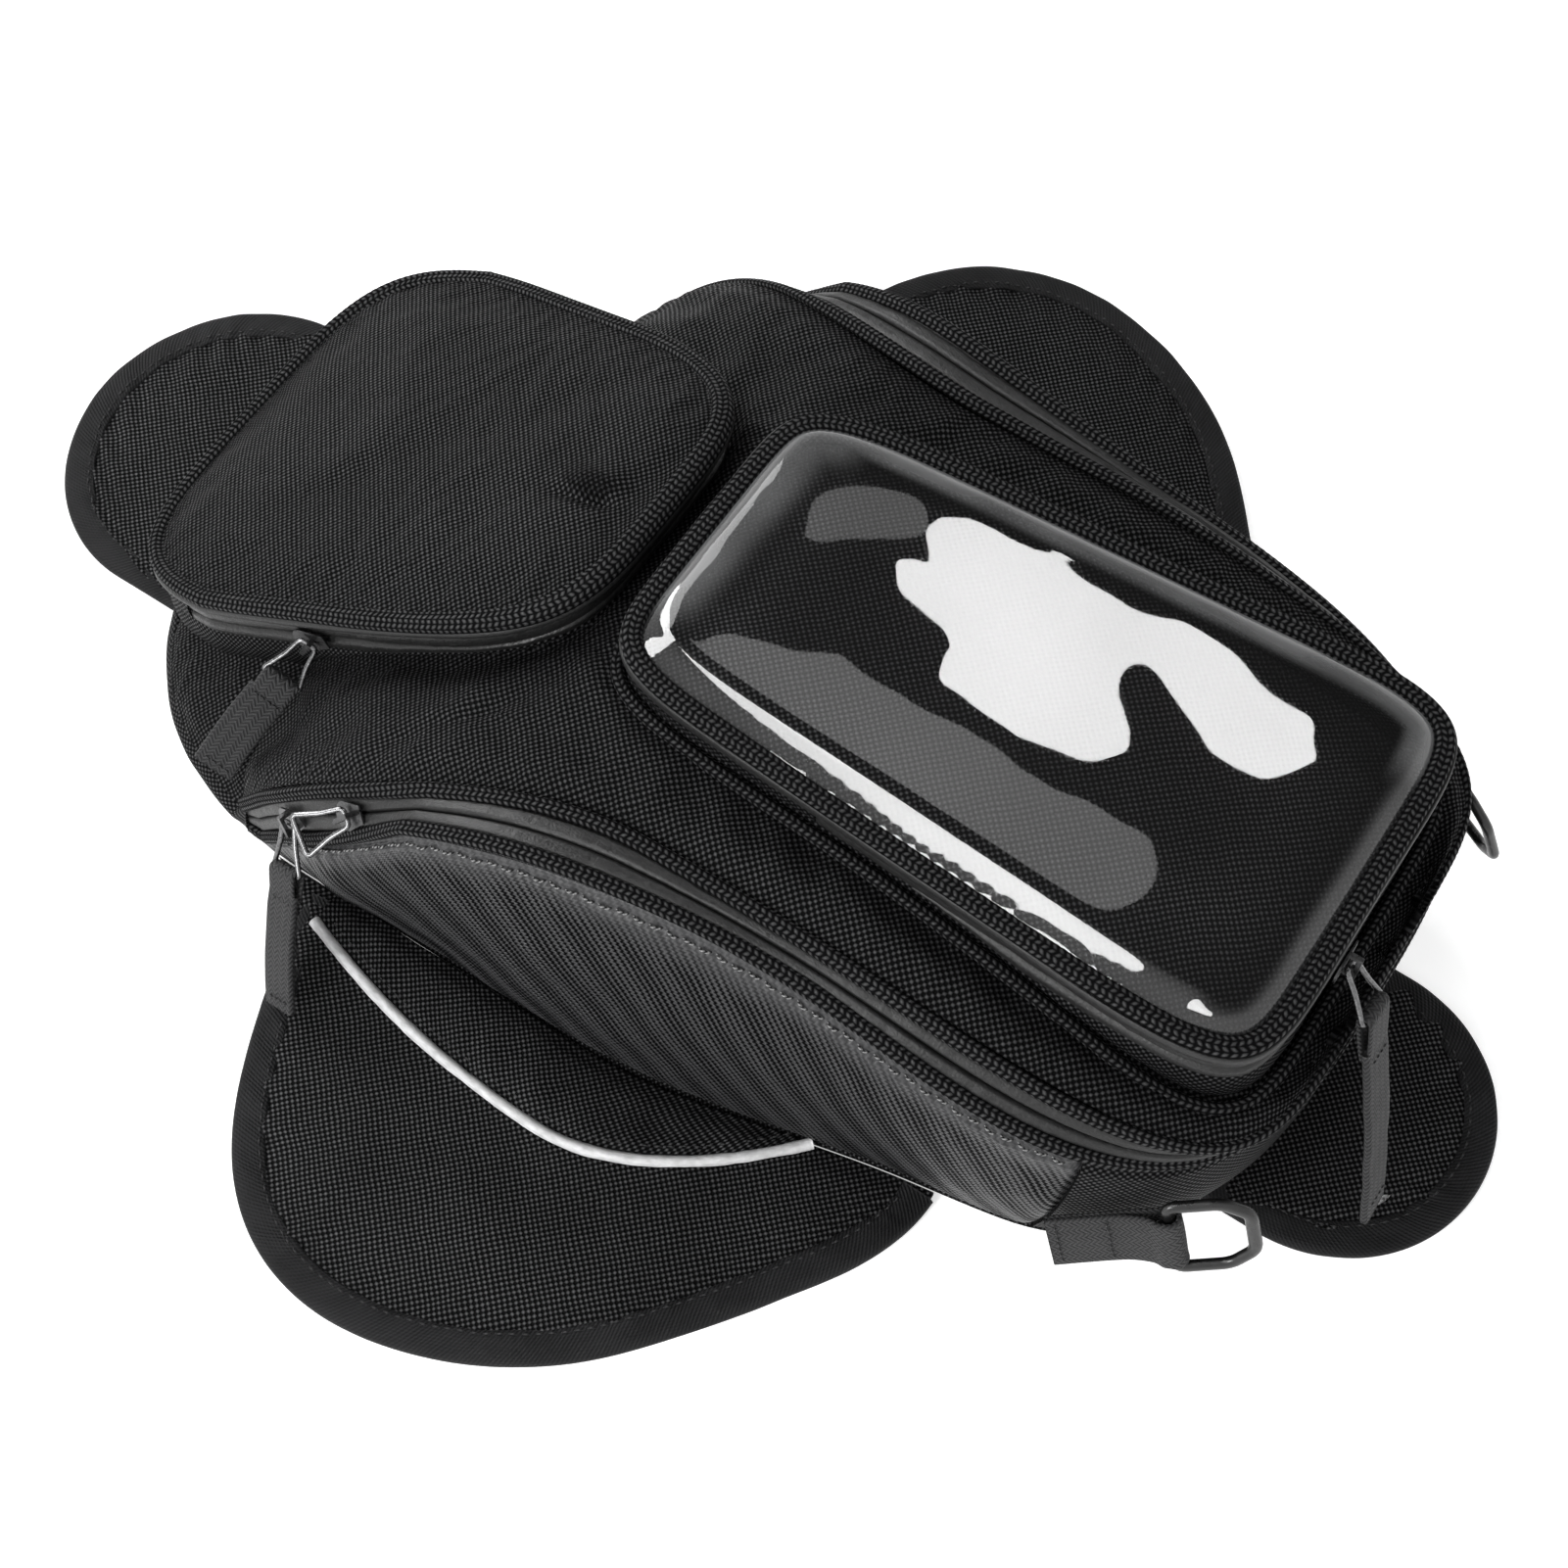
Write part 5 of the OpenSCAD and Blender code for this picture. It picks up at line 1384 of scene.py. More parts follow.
def flap_parts(name, outer, inner, body, seed, hinge_dir, sgn, thick=3.0):
    """outer, inner: matching curves (n, 2) of the free edge and the seam edge. Builds panel, lining, binding and stitches."""
    n = len(outer)
    t = tangents(outer)
    nrm = np.stack([t[:, 1], -t[:, 0]], 1)
    if dot(nrm, outer - inner).mean() < 0:
        nrm = -nrm
    m = 44
    k = np.linspace(0, 1, m)[None, :, None]
    # panel runs from the seam edge to 1.2 mm inside the free edge
    rim = outer - nrm * 1.2
    Q = inner[:, None, :] + (rim - inner)[:, None, :] * (1 - (1 - k) ** 1.15)
    x, y = Q[..., 0], Q[..., 1]
    dist = np.linalg.norm(Q - rim[:, None, :], axis=-1)
    din = np.linalg.norm(Q - inner[:, None, :], axis=-1)
    lift = np.maximum(0, flap_height(x, y, seed) + 0.9) * sm(0, 24, din)
    puff = 0.9 * sm(8, 22, dist) * sm(0, 8, din)
    top = 2.5 + lift + puff
    crease = 0.45 * sin(2 * pi * lengths(np.dstack([x, y, 0 * x]), 0) / 13 + 4 * value_noise(np.stack([x, y, 0 * x], -1), 24, seed + 3)) * exp(-((dist - 12) / 8) ** 2) * sm(0, 12, din)
    top = top + crease
    bot = np.maximum(0.35, top - thick - 0.4 * puff)
    bot = np.minimum(bot, top - 1.6)
    T = np.stack([x, y, top], -1)
    B = np.stack([x, y, np.maximum(bot, 0.25)], -1)
    UVp = np.stack([x, y], -1)
    mid = (T + B * [1, 1, 1]) * 0.5
    # outer panel (upper cloth) and lining (lower cloth) meet in the middle of the thickness
    def two(nm, A, Bm, mat, slot, *rep):
        S = np.concatenate([A, Bm[:, ::-1]], 1)
        U = np.concatenate([UVp, UVp[:, ::-1], UVp[:, :1]], 1)
        co, q, c = grid(S, U, False, True)
        kk_, caps = S.shape[1], []
        for e, flip in ((0, True), ((n - 1) * kk_, False)):
            for j in range(kk_ // 2 - 1):
                f = [e + j, e + j + 1, e + kk_ - 2 - j, e + kk_ - 1 - j]
                caps.append(f[::-1] if flip else f)
        caps = np.array(caps)
        q = np.concatenate([q, caps]); c = np.concatenate([c, co[caps][..., :2]])
        tq = co[q] - co.mean(0)
        if dot(tq[:, 0], np.cross(tq[:, 1], tq[:, 2])).sum() < 0:
            q = q[:, ::-1]; c = c[:, ::-1]
        o = build(nm, co, q, c, mat)
        return done(o, body, slot, *rep)
    two(name + "_cloth", T, mid + [0, 0, 0.03], F_FLAP, "shell_fabric", name)
    two(name + "_underside", mid - [0, 0, 0.03], B, F_BASE, "base_fabric", name + "_lining")
    # binding folded over the free edge
    path = outer
    zt = np.interp(np.arange(n), np.arange(n), top[:, -1])
    prof_d = np.array([10.2, 9.9, 8.0, 5.0, 2.2, 0.7, 0.0, 0.25, 1.2, 4.0, 8.0, 9.6])
    prof_z = np.array([0.10, 0.55, 0.75, 0.80, 0.70, 0.25, -1.0, -1.9, -2.5, -2.6, -2.55, -2.3])
    j_at = [np.array([np.interp(d, dist[i, ::-1] + 1.2, top[i, ::-1]) for i in range(n)]) for d in prof_d]
    b_at = [np.array([np.interp(d, dist[i, ::-1] + 1.2, B[i, ::-1, 2]) for i in range(n)]) for d in prof_d]
    S = np.zeros((n, len(prof_d), 3))
    e2 = 0.22 * value_noise(np.column_stack([path, 0 * zt]), 9, seed + 5)
    for q, (d, z) in enumerate(zip(prof_d, prof_z)):
        dd = d + (0.5 * value_noise(np.column_stack([path, 0 * zt]), 20, seed + 6) if d > 5 else 0)
        S[:, q, :2] = path - nrm * np.asarray(dd).reshape(-1, 1)
        if q < 6:
            S[:, q, 2] = j_at[q] + z + e2
        elif q == 6:
            S[:, q, 2] = (j_at[q] + b_at[q]) / 2
        else:
            S[:, q, 2] = np.maximum(0.05, b_at[q] - 0.25)
    # resample finer along the edge, then round by subdivision
    o = skin(name + "_edge_tape", S, TAPE)
    subdiv(o, 1); apply_mods(o)
    done(o, body, "binding_tape", name + "_binding")
    d = 8.4
    zs = np.array([np.interp(d, dist[i, ::-1] + 1.2, top[i, ::-1]) for i in range(n)]) + 0.78 + e2
    st = np.column_stack([path - nrm * d, zs])[3:-3]
    upv = np.tile([0, 0, 1.0], (len(st), 1))
    stitches(name + "_edge_stitches", st, upv, body, 2.6, 1.0, 0.24, 0.0, THREAD)
    return T, dist, din, UVp, x, y, top


def inner_edge(ys, sgn, gap=0.6):
    return np.stack([sgn * (w_base(ys) + gap), ys], 1)


for side, sgn in (("left", -1.0), ("right", 1.0)):
    q = np.linspace(6, 186, 260)
    r = flap_rad(q)
    outer = np.stack([sgn * (FC[0] + r * sin(np.radians(q))), FC[1] + r * cos(np.radians(q))], 1)
    outer = even(outer, n=259)
    yi = np.linspace(95.0, -124.5, 260)
    inner = inner_edge(yi, sgn)
    body = side + "_flap_body"
    T, dist, din, UVp, x, y, top = flap_parts(side + "_flap", outer, inner, body, 201 if sgn < 0 else 231, None, sgn)
    # reflective piping and the overlay cloth between it and the bag
    pipe = lambda yv: 134 - np.where(yv > -20, 0.0019, 0.0086) * (yv + 20) ** 2
    yp = np.linspace(72, -92, 220)
    xp = pipe(yp)
    keep = xp > w_base(yp) + 0.4
    yp, xp = yp[keep], xp[keep]
    pts = np.stack([x.ravel() * sgn, y.ravel()], 1)
    tz = top.ravel()

    def z_on(xq, yq):
        out = np.zeros(len(xq))
        for i in range(len(xq)):
            d2 = (pts[:, 0] - xq[i]) ** 2 + (pts[:, 1] - yq[i]) ** 2
            ii = np.argpartition(d2, 4)[:4]
            w = 1 / (d2[ii] + 0.3)
            out[i] = (tz[ii] * w).sum() / w.sum()
        return out

    m = 26
    xi = w_base(yp) + 0.5
    k = np.linspace(0, 1, m)[None, :]
    XO = xi[:, None] + (xp - xi)[:, None] * k
    YO = yp[:, None] + 0 * k
    ZO = z_on(XO.ravel(), YO.ravel()).reshape(XO.shape)
    width = (xp - xi)[:, None]
    pn = np.stack([XO, YO, 0 * XO], -1)
    ov = 0.9 + 0.9 * sm(0, 6, width * (1 - k)) * sm(0, 5, width * k) + 0.8 * (noise2(pn, 22, 260) + 0.4) * sm(0, 12, width * (1 - k)) \
        + 0.5 * sin(2 * pi * (YO + 0.4 * XO) / 15 + 3 * value_noise(pn, 25, 262)) * exp(-width * (1 - k) / 12) * sm(0, 3, width * (1 - k))
    PO = np.stack([sgn * XO, YO, ZO + ov], -1)
    S = np.concatenate([PO, (PO - [0, 0, 0.8])[:, ::-1]], 1)
    o = skin(side + "_flap_overlay", S, F_FLAP)
    done(o, body, "shell_fabric")
    # piping cord on the overlay's edge
    pp = even(np.column_stack([sgn * xp, yp, PO[:, -1, 2] + 0.3]), 0.9)
    rr_ = 1.75 + 0.18 * value_noise(pp, 6, 270) + 0.1 * value_noise(pp, 2.5, 271)
    o = skin(side + "_flap_reflective_cord", tube(pp, rr_, 14, fy=0.92), REFLECT)
    done(o, body, "reflective", side + "_flap_piping")
    # seam line beside the piping
    tp = tangents(pp)
    nn = np.stack([tp[:, 1], -tp[:, 0], 0 * tp[:, 0]], 1)
    if (nn[:, 0] * sgn).mean() > 0:
        nn = -nn
    st = pp + nn * 4.2 + [0, 0, 0.35]
    stitches(side + "_overlay_stitches", st[4:-4], np.tile([0, 0, 1.0], (len(st) - 8, 1)), body, 2.6, 1.1, 0.22, 0.0, THREAD)

for nm, cy, hw, tip, sy in (("front_flap", 200.0, 57.0, 252.0, 1.0), ("rear_flap", 205.0, 46.5, 252.0, -1.0)):
    th = np.radians(np.linspace(0, 180, 140))
    arc = np.stack([hw * cos(th), cy + (tip - cy) * sin(th)], 1)
    arc = np.vstack([[hw, 150.0], arc, [-hw, 150.0]])
    edge = lambda xq: None
    # where the free edge meets the base outline
    ys = np.linspace(120, NOSE if sy > 0 else BASE_R, 1500)
    ws = w_base(ys * sy)
    yb = float(ys[np.argmin(np.abs(ws - hw))])
    arc = arc[arc[:, 1] > yb - 1]
    arc = np.vstack([[hw, yb], arc[(arc[:, 1] > yb + 1)], [-hw, yb]])
    outer = even(arc, n=199)
    xs = outer[:, 0].copy()
    u = np.linspace(-1, 1, 200)
    xin = -np.sin(u * pi / 2) * hw * 0.985
    ysel = np.interp(-np.abs(xin), -ws, ys)
    inner = np.stack([xin, ysel + 0.6], 1)
    outer[:, 1] *= sy; inner[:, 1] *= sy
    body = nm + "_body"
    flap_parts(nm, outer, inner, body, 301 if sy > 0 else 331, None, sy)

for n in ("left_flap_magnets", "right_flap_magnets", "front_flap_magnets", "rear_flap_magnets"):
    give(n, MAGNET)

# ------------------------------------------------------------------ base, lining, foam

ab = np.linspace(0, 2, 240, endpoint=False)
pb = even(p_base(ab), n=240, closed=True)
tb = tangents(pb, True); nb = np.stack([tb[:, 1], -tb[:, 0], 0 * tb[:, 0]], 1)
if dot(nb, pb).mean() < 0:
    nb = -nb
prof = [(-60, 0.45), (-30, 0.4), (-12, 0.35), (-5, 0.3), (-2.4, 0.25), (-0.9, 0.5), (-0.2, 1.1), (-0.2, 1.7), (-1.0, 2.3), (-3, 2.4), (-12, 2.4), (-40, 2.4)]
rows = []
for d, z in prof:
    k = max(0.02, 1 + d / 105.0)
    ring = pb + nb * d if d > -8 else np.column_stack([pb[:, 0] * k, pb[:, 1] * (1 + d / 190.0), pb[:, 2]])
    ring = ring.copy(); ring[:, 2] = z
    rows.append(ring)
S = np.stack(rows, 1)
c_lo = S[:, 0].copy(); c_lo[:, :2] *= 0.01
c_hi = S[:, -1].copy(); c_hi[:, :2] *= 0.01
S = np.concatenate([c_lo[:, None], S, c_hi[:, None]], 1)
co, q, c = grid(S, np.concatenate([np.concatenate([S[..., :2], S[:1, :, :2]], 0)], 1), True, False)
tq = co[q]
if dot(tq[:, 0] - [0, 0, 1.4], np.cross(tq[:, 1] - [0, 0, 1.4], tq[:, 2] - [0, 0, 1.4])).sum() < 0:
    q = q[:, ::-1]; c = c[:, ::-1]
o = build("base_sheet", co, q, c, F_BASE)
done(o, "root", "base_fabric", "base_panel")

a = np.linspace(0.001, 2.001, 200, endpoint=False)[:, None] + np.zeros((1, 24))
v = np.linspace(0.04, 0.92, 24)[None, :] + 0 * a
Pw, Nw = wall(a, v), normal_of(wall, a, v)
Pw = Pw - Nw * (3.9 + 0.5 * (1 + noise2(Pw, 26, 401)))[..., None]
Pw[..., 2] = np.maximum(Pw[..., 2], 5.0)
# carry the lining down and across the floor
fl = Pw[:, 0].copy()
rings = [fl * [k, k, 0] + [0, 0, z] for k, z in ((0.985, 10.6), (0.96, 10.2), (0.85, 10.0), (0.6, 9.9), (0.3, 9.9), (0.02, 9.9))]
S = np.concatenate([np.stack(rings[::-1], 1), Pw], 1)
uvw = np.concatenate([S[..., :2], S[:1, :, :2]], 0) * 1.0
lv = np.concatenate([lengths(S, 1), lengths(S[:1], 1)], 0)
lu = np.concatenate([lengths(S, 0)[:, -1], [lengths(S, 0)[-1, -1] + 3]])[:, None] + 0 * lv
co, q, c = grid(S, np.stack([lu, lv], -1), True, False)
o = build("tub_inner_lining", co, q, c, F_LINING)
solid(o, 0.8, 0.0); apply_mods(o)
done(o, "root", "lining_fabric", "tub_lining")

# foam pad with rounded edges
rows = []
for d, z in ((-60, 2.7), (-20, 2.7), (-9, 2.75), (-7.6, 3.3), (-7.1, 4.8), (-7.6, 6.3), (-9.2, 7.0), (-22, 7.3), (-60, 7.3)):
    k = max(0.02, 1 + d / 105.0)
    ring = pb + nb * d if d > -12 else np.column_stack([pb[:, 0] * k, pb[:, 1] * (1 + d / 190.0), pb[:, 2]])
    ring = ring.copy(); ring[:, 2] = z
    rows.append(ring)
S = np.stack(rows, 1)
c_lo = S[:, 0].copy(); c_lo[:, :2] *= 0.01
c_hi = S[:, -1].copy(); c_hi[:, :2] *= 0.01
S = np.concatenate([c_lo[:, None], S, c_hi[:, None]], 1)
co, q, c = grid(S, np.concatenate([S[..., :2], S[:1, :, :2]], 0), True, False)
tq = co[q] - [0, 0, 5]
if dot(tq[:, 0], np.cross(tq[:, 1], tq[:, 2])).sum() < 0:
    q = q[:, ::-1]; c = c[:, ::-1]
o = build("base_foam_pad", co, q, c, FOAM)
done(o, "root", "foam", "base_foam")
give("base_board", BOARD)

# ------------------------------------------------------------------ sliders, pullers, webbing, rings

for n in ("main_slider_front", "main_slider_rear", "pocket_slider", "window_slider"):
    give(n, METAL, 0.35)


def basis(d, z):
    x = unit(d - z * float(np.dot(d, z)))
    return x, np.cross(z, x), z


def wire_loop(name, P, d, axis, body, node, L=15.0, r=0.8):
    """Bent wire puller: pivot bar, two legs that spread, and a wide end bar."""
    x, y, z = basis(np.array(d, float), np.array(axis, float))
    pts = [(0, -2.6), (L * 0.45, -3.6), (L, -6.2), (L, 6.2), (L * 0.45, 3.6), (0, 2.6)]
    # round the corners
    P2 = []
    n = len(pts)
    for i in range(n):
        a_, b_, c_ = np.array(pts[i - 1], float), np.array(pts[i], float), np.array(pts[(i + 1) % n], float)
        rr = 1.5
        p0 = b_ + unit(a_ - b_) * rr; p1 = b_ + unit(c_ - b_) * rr
        for s in np.linspace(0, 1, 7):
            P2.append((1 - s) ** 2 * p0 + 2 * s * (1 - s) * b_ + s * s * p1)
    path = np.array([P + x * u + z * w for u, w in P2])
    path = even(path, 0.5, closed=True)
    S = tube(path, r, 12, True, up=np.tile(y, (len(path), 1)))
    co, q, c = closed_tube(S, True)
    o = build(name, co, q, c, WIRE)
    return done(o, body, "gunmetal", node)


def strap(path, up, w, t, name, mat, body, slot, *replaced, rnd=5, wob=0.0, seed=0):
    """Flat webbing along a path; up is the face normal at each point."""
    path = np.asarray(path, float)
    tn = tangents(path)
    up = unit(up - tn * dot(tn, up)[:, None])
    side = np.cross(tn, up)
    hw, ht = w / 2, t / 2
    prof = []
    for s in np.linspace(-1, 1, 13):
        prof.append((s * (hw - 0.5), ht * (1.0 + 0.10 * (1 - s * s))))
    prof += [(hw - 0.1, ht * 0.6), (hw, 0), (hw - 0.1, -ht * 0.6)]
    for s in np.linspace(1, -1, 13):
        prof.append((s * (hw - 0.5), -ht * (1.0 + 0.10 * (1 - s * s))))
    prof += [(-hw + 0.1, -ht * 0.6), (-hw, 0), (-hw + 0.1, ht * 0.6)]
    prof = np.array(prof)
    k = len(prof)
    if k % 2:
        prof = prof[:-1]
    S = sweep(path, side, up, prof)
    if wob:
        S = S + up[:, None, :] * (wob * value_noise(S, 7, seed))[..., None]
    # start index so that caps run across the thickness
    S = np.roll(S, 2, axis=1)
    o = skin(name, S, mat)
    return done(o, body, slot, *replaced)


def bezier(pts, n):
    """Smooth curve through control points (Catmull-Rom)."""
    p = np.asarray(pts, float)
    p = np.vstack([2 * p[0] - p[1], p, 2 * p[-1] - p[-2]])
    out = []
    for i in range(1, len(p) - 2):
        for s in np.linspace(0, 1, 24, endpoint=False):
            a_, b_, c_, d_ = p[i - 1], p[i], p[i + 1], p[i + 2]
            out.append(0.5 * ((2 * b_) + (c_ - a_) * s + (2 * a_ - 5 * b_ + 4 * c_ - d_) * s ** 2 + (3 * b_ - a_ - 3 * c_ + d_) * s ** 3))
    out.append(p[-2])
    return even(np.array(out), n=n)


def pull(name, P, d, axis, end, body, wire_node, web_node, L=15.0, W=12.8, bow=(0, 0, 0), web=True, double=True):
    P = np.array(P, float); d = unit(np.array(d, float)); axis = np.array(axis, float)
    wire_loop(name + "_wire", P, d, axis, body, wire_node, L)
    if not web:
        return
    we = P + d * L
    e = np.array(end, float)
    x, y, z = basis(e - we, axis)
    ln = float(np.dot(e - we, x))
    # a doubled strap: one layer over the end bar, both sewn together lower down
    r = 0.8 + 0.95
    loop = []
    for s in np.linspace(0.18, 0, 8):
        loop.append(we + x * (s * ln) + y * (-r * (1 - (s / 0.18)) ** 0.7 * 1.0 - 0.75 * (s / 0.18)))
    for a_ in np.linspace(-pi / 2, -3 * pi / 2, 10)[1:-1]:
        loop.append(we + x * (r * cos(a_)) + y * (r * sin(a_)))
    for s in np.linspace(0, 0.18, 8):
        loop.append(we + x * (s * ln) + y * (r * (1 - (s / 0.18)) ** 0.7 + 0.75 * (s / 0.18)))
    loop = even(np.array(loop), 0.8)
    tn = tangents(loop)
    up = np.cross(tn, np.tile(z, (len(loop), 1)))
    strap(loop, up, W - 1.2, 1.1, name + "_loop", WEB, body, "webbing", seed=3)
    bowv = np.array(bow, float)
    s = np.linspace(0.14, 1.0, 60)
    tail = np.array([we + x * (q * ln) + bowv * sin(pi * q) for q in s])
    up = np.tile(y, (len(tail), 1))
    o = strap(tail, up, W, 2.0, name + "_strap", WEB, body, "webbing", web_node, wob=0.25, seed=5)
    # box of stitches across the fold
    for s0 in (0.2, 0.93):
        c = we + x * (s0 * ln) + bowv * sin(pi * s0)
        row = np.array([c + z * k + y * 1.05 for k in np.linspace(-W / 2 + 1.5, W / 2 - 1.5, 20)])
        stitches(name + "_bar_%d" % int(s0 * 100), row, np.tile(y, (20, 1)), body, 1.7, 0.5, 0.26, 0.0, THREAD)
    return o


J = {j["name"]: j for j in frame["joints"]}
pos = lambda n: np.array(J[n]["pos_m"]) * 1000
axv = lambda n: unit(np.array(J[n]["axis"]))


def along_axis(n, end):
    p = pos(n)
    return unit(np.array(end, float) - p)


END_A = np.array([-146, 61.5, 8.6]); END_P = np.array([-103, 116, 32.0]); END_W = np.array([-33, -229, 34.0])
pull("main_front_pull", pos("main_pull_a_swing"), along_axis("main_pull_a_swing", END_A), axv("main_pull_a_swing"), END_A, "main_pull_a", "main_puller_front", "main_pull_webbing", bow=(-0.5, 0.6, 1.0))
pull("main_rear_pull", pos("main_pull_b_swing"), (-0.62, 0.62, -0.40), axv("main_pull_b_swing"), END_A, "main_pull_b", "main_puller_rear", None, web=False)
pull("front_pocket_pull", pos("pocket_pull_swing"), along_axis("pocket_pull_swing", END_P), axv("pocket_pull_swing"), END_P, "pocket_pull", "pocket_puller", "pocket_pull_webbing", bow=(-0.4, 0.4, 0.6))
pull("window_pull_strap", pos("window_pull_swing"), (-0.2, -0.68, -0.72), axv("window_pull_swing"), END_W, "window_pull", "window_puller", "window_pull_webbing", bow=(0, -1.0, 0.6))

# strap tabs and rings
SA, SV = np.array(0.832), np.array(0.6)
SH = unit(normal_of(wall, SA, SV) * [1, 1, 0])
SN = unit(SH + [0, 0, 0.3])
ST = unit(unit(wall(SA + 0.01, SV) - wall(SA - 0.01, SV)) + [0, 0, 0.3])
SP = wall(SA, SV) + SH * 5.0
for side, sgn in (("left", 1.0), ("right", -1.0)):
    fl = np.array([sgn, 1, 1.0])
    X = unit(ST); Z = unit(np.cross(X, SN)); Yv = np.cross(Z, X)
    def at(u, h, w=0.0):
        return (SP + X * u + Yv * h + Z * w) * fl
    # upper layer: from the sewn end, over the bar and back
    pts = [(-17, 2.1), (-8, 2.1), (2, 2.2), (9, 3.6), (12, 5.6)]
    arc = [(15 + 3.0 * math.cos(q), 3.4 + 3.0 * math.sin(q)) for q in np.linspace(math.radians(120), math.radians(-110), 14)]
    pts2 = [(10.5, 0.9), (2, 0.8), (-17, 0.8)]
    path = np.array([at(u, h) for u, h in pts + arc + pts2])
    path = bezier(path, 130)
    tn = tangents(path)
    up = np.cross(tn, np.tile(Z * fl, (len(path), 1)))
    strap(path, up, 20.0, 1.3, side + "_strap_loop", WEB, "root", "webbing", side + "_strap_tab", wob=0.2, seed=9)
    for u0 in (-14.5, -1.0):
        row = np.array([at(u0, 2.95, w) for w in np.linspace(-8.5, 8.5, 20)])
        stitches(side + "_tab_bar_%d" % int(abs(u0) * 10), row, np.tile(Yv * fl, (20, 1)), "root", 1.9, 0.5, 0.3, 0.0, THREAD)
    # ring: rounded flat loop
    pts = np.array([[15, -13.5], [29, -13.5], [36, -8], [36, 8], [29, 13.5], [15, 13.5]], float)
    P2 = []
    for i in range(6):
        a_, b_, c_ = pts[i - 1], pts[i], pts[(i + 1) % 6]
        p0 = b_ + unit(a_ - b_) * 2.6; p1 = b_ + unit(c_ - b_) * 2.6
        for s in np.linspace(0, 1, 9):
            P2.append((1 - s) ** 2 * p0 + 2 * s * (1 - s) * b_ + s * s * p1)
    loop = even(np.array([at(u, 3.4, w) for u, w in P2]), 0.7, closed=True)
    upn = np.tile(Yv * fl, (len(loop), 1))
    S = tube(loop, 1.5, 16, True, up=upn, fx=1.25, fy=1.0)
    co, q, c = closed_tube(S, True)
    o = build(side + "_ring", co, q, c, PLASTIC)
    done(o, side + "_ring" if False else side + "_ring", "ring_plastic", side + "_strap_ring")

# ------------------------------------------------------------------ stage: floor, light, camera

sc = bpy.context.scene
floor_m = Mat("floor")
floor_m.bsdf((0.9, 0.9, 0.9), 0.7, spec=0.1)
floor_m.b.inputs["Emission Color"].default_value = (1, 1, 1, 1)
floor_m.b.inputs["Emission Strength"].default_value = 0.5
me = bpy.data.meshes.new("floor")
me.from_pydata([(-4, -4, -0.0005), (4, -4, -0.0005), (4, 4, -0.0005), (-4, 4, -0.0005)], [], [(0, 1, 2, 3)])
me.materials.append(floor_m.m)
floor = bpy.data.objects.new("floor", me)
sc.collection.objects.link(floor)

world = bpy.data.worlds.new("studio")
sc.world = world
world.use_nodes = True
bg = world.node_tree.nodes["Background"]
bg.inputs[0].default_value = (1, 1, 1, 1)
bg.inputs[1].default_value = 1.0
wt = world.node_tree
tc = wt.nodes.new("ShaderNodeTexCoord")
dp_ = wt.nodes.new("ShaderNodeVectorMath"); dp_.operation = "DOT_PRODUCT"
wt.links.new(tc.outputs["Generated"], dp_.inputs[0])
dp_.inputs[1].default_value = (0.384, 0.257, 0.887)
mr = wt.nodes.new("ShaderNodeMapRange"); mr.interpolation_type = "SMOOTHSTEP"
wt.links.new(dp_.outputs["Value"], mr.inputs[0])
mr.inputs[1].default_value, mr.inputs[2].default_value = 0.45, 0.9
mr.inputs[3].default_value, mr.inputs[4].default_value = 1.15, 0.08
wt.links.new(mr.outputs[0], bg.inputs[1])
sc.view_settings.view_transform = "Standard"

az, el, D = math.radians(-56.2138), math.radians(62.4800), 807.634
back = np.array([math.sin(az) * math.cos(el), -math.cos(az) * math.cos(el), math.sin(el)])
CAM = np.array([-1.1817, -16.8742, 0.0]) + back * D
xx = unit(np.cross([0, 0, 1.0], back)); yv = np.cross(back, xx)
rl = math.radians(-0.17304)
x2 = math.cos(rl) * xx + math.sin(rl) * yv
y2 = -math.sin(rl) * xx + math.cos(rl) * yv
cam = bpy.data.cameras.new("camera")
cam.lens, cam.sensor_width, cam.sensor_fit = 60.77, 36.0, "HORIZONTAL"
cam.clip_start, cam.clip_end = 0.01, 50
co_ = bpy.data.objects.new("camera", cam)
sc.collection.objects.link(co_)
R = Matrix(((x2[0], y2[0], back[0]), (x2[1], y2[1], back[1]), (x2[2], y2[2], back[2])))
co_.matrix_world = Matrix.Translation(Vector(CAM * 0.001)) @ R.to_4x4()
sc.camera = co_


def area(name, loc, target, w, h, watts, spread=math.pi):
    l = bpy.data.lights.new(name, "AREA")
    l.shape, l.size, l.size_y, l.energy = "RECTANGLE", w * 0.001, h * 0.001, watts
    l.spread = spread
    o = bpy.data.objects.new(name, l)
    sc.collection.objects.link(o)
    o.location = Vector(np.asarray(loc, float) * 0.001)
    o.rotation_mode = "QUATERNION"
    o.rotation_quaternion = (Vector(np.asarray(target, float)) - Vector(np.asarray(loc, float))).to_track_quat("-Z", "Y")
    return o


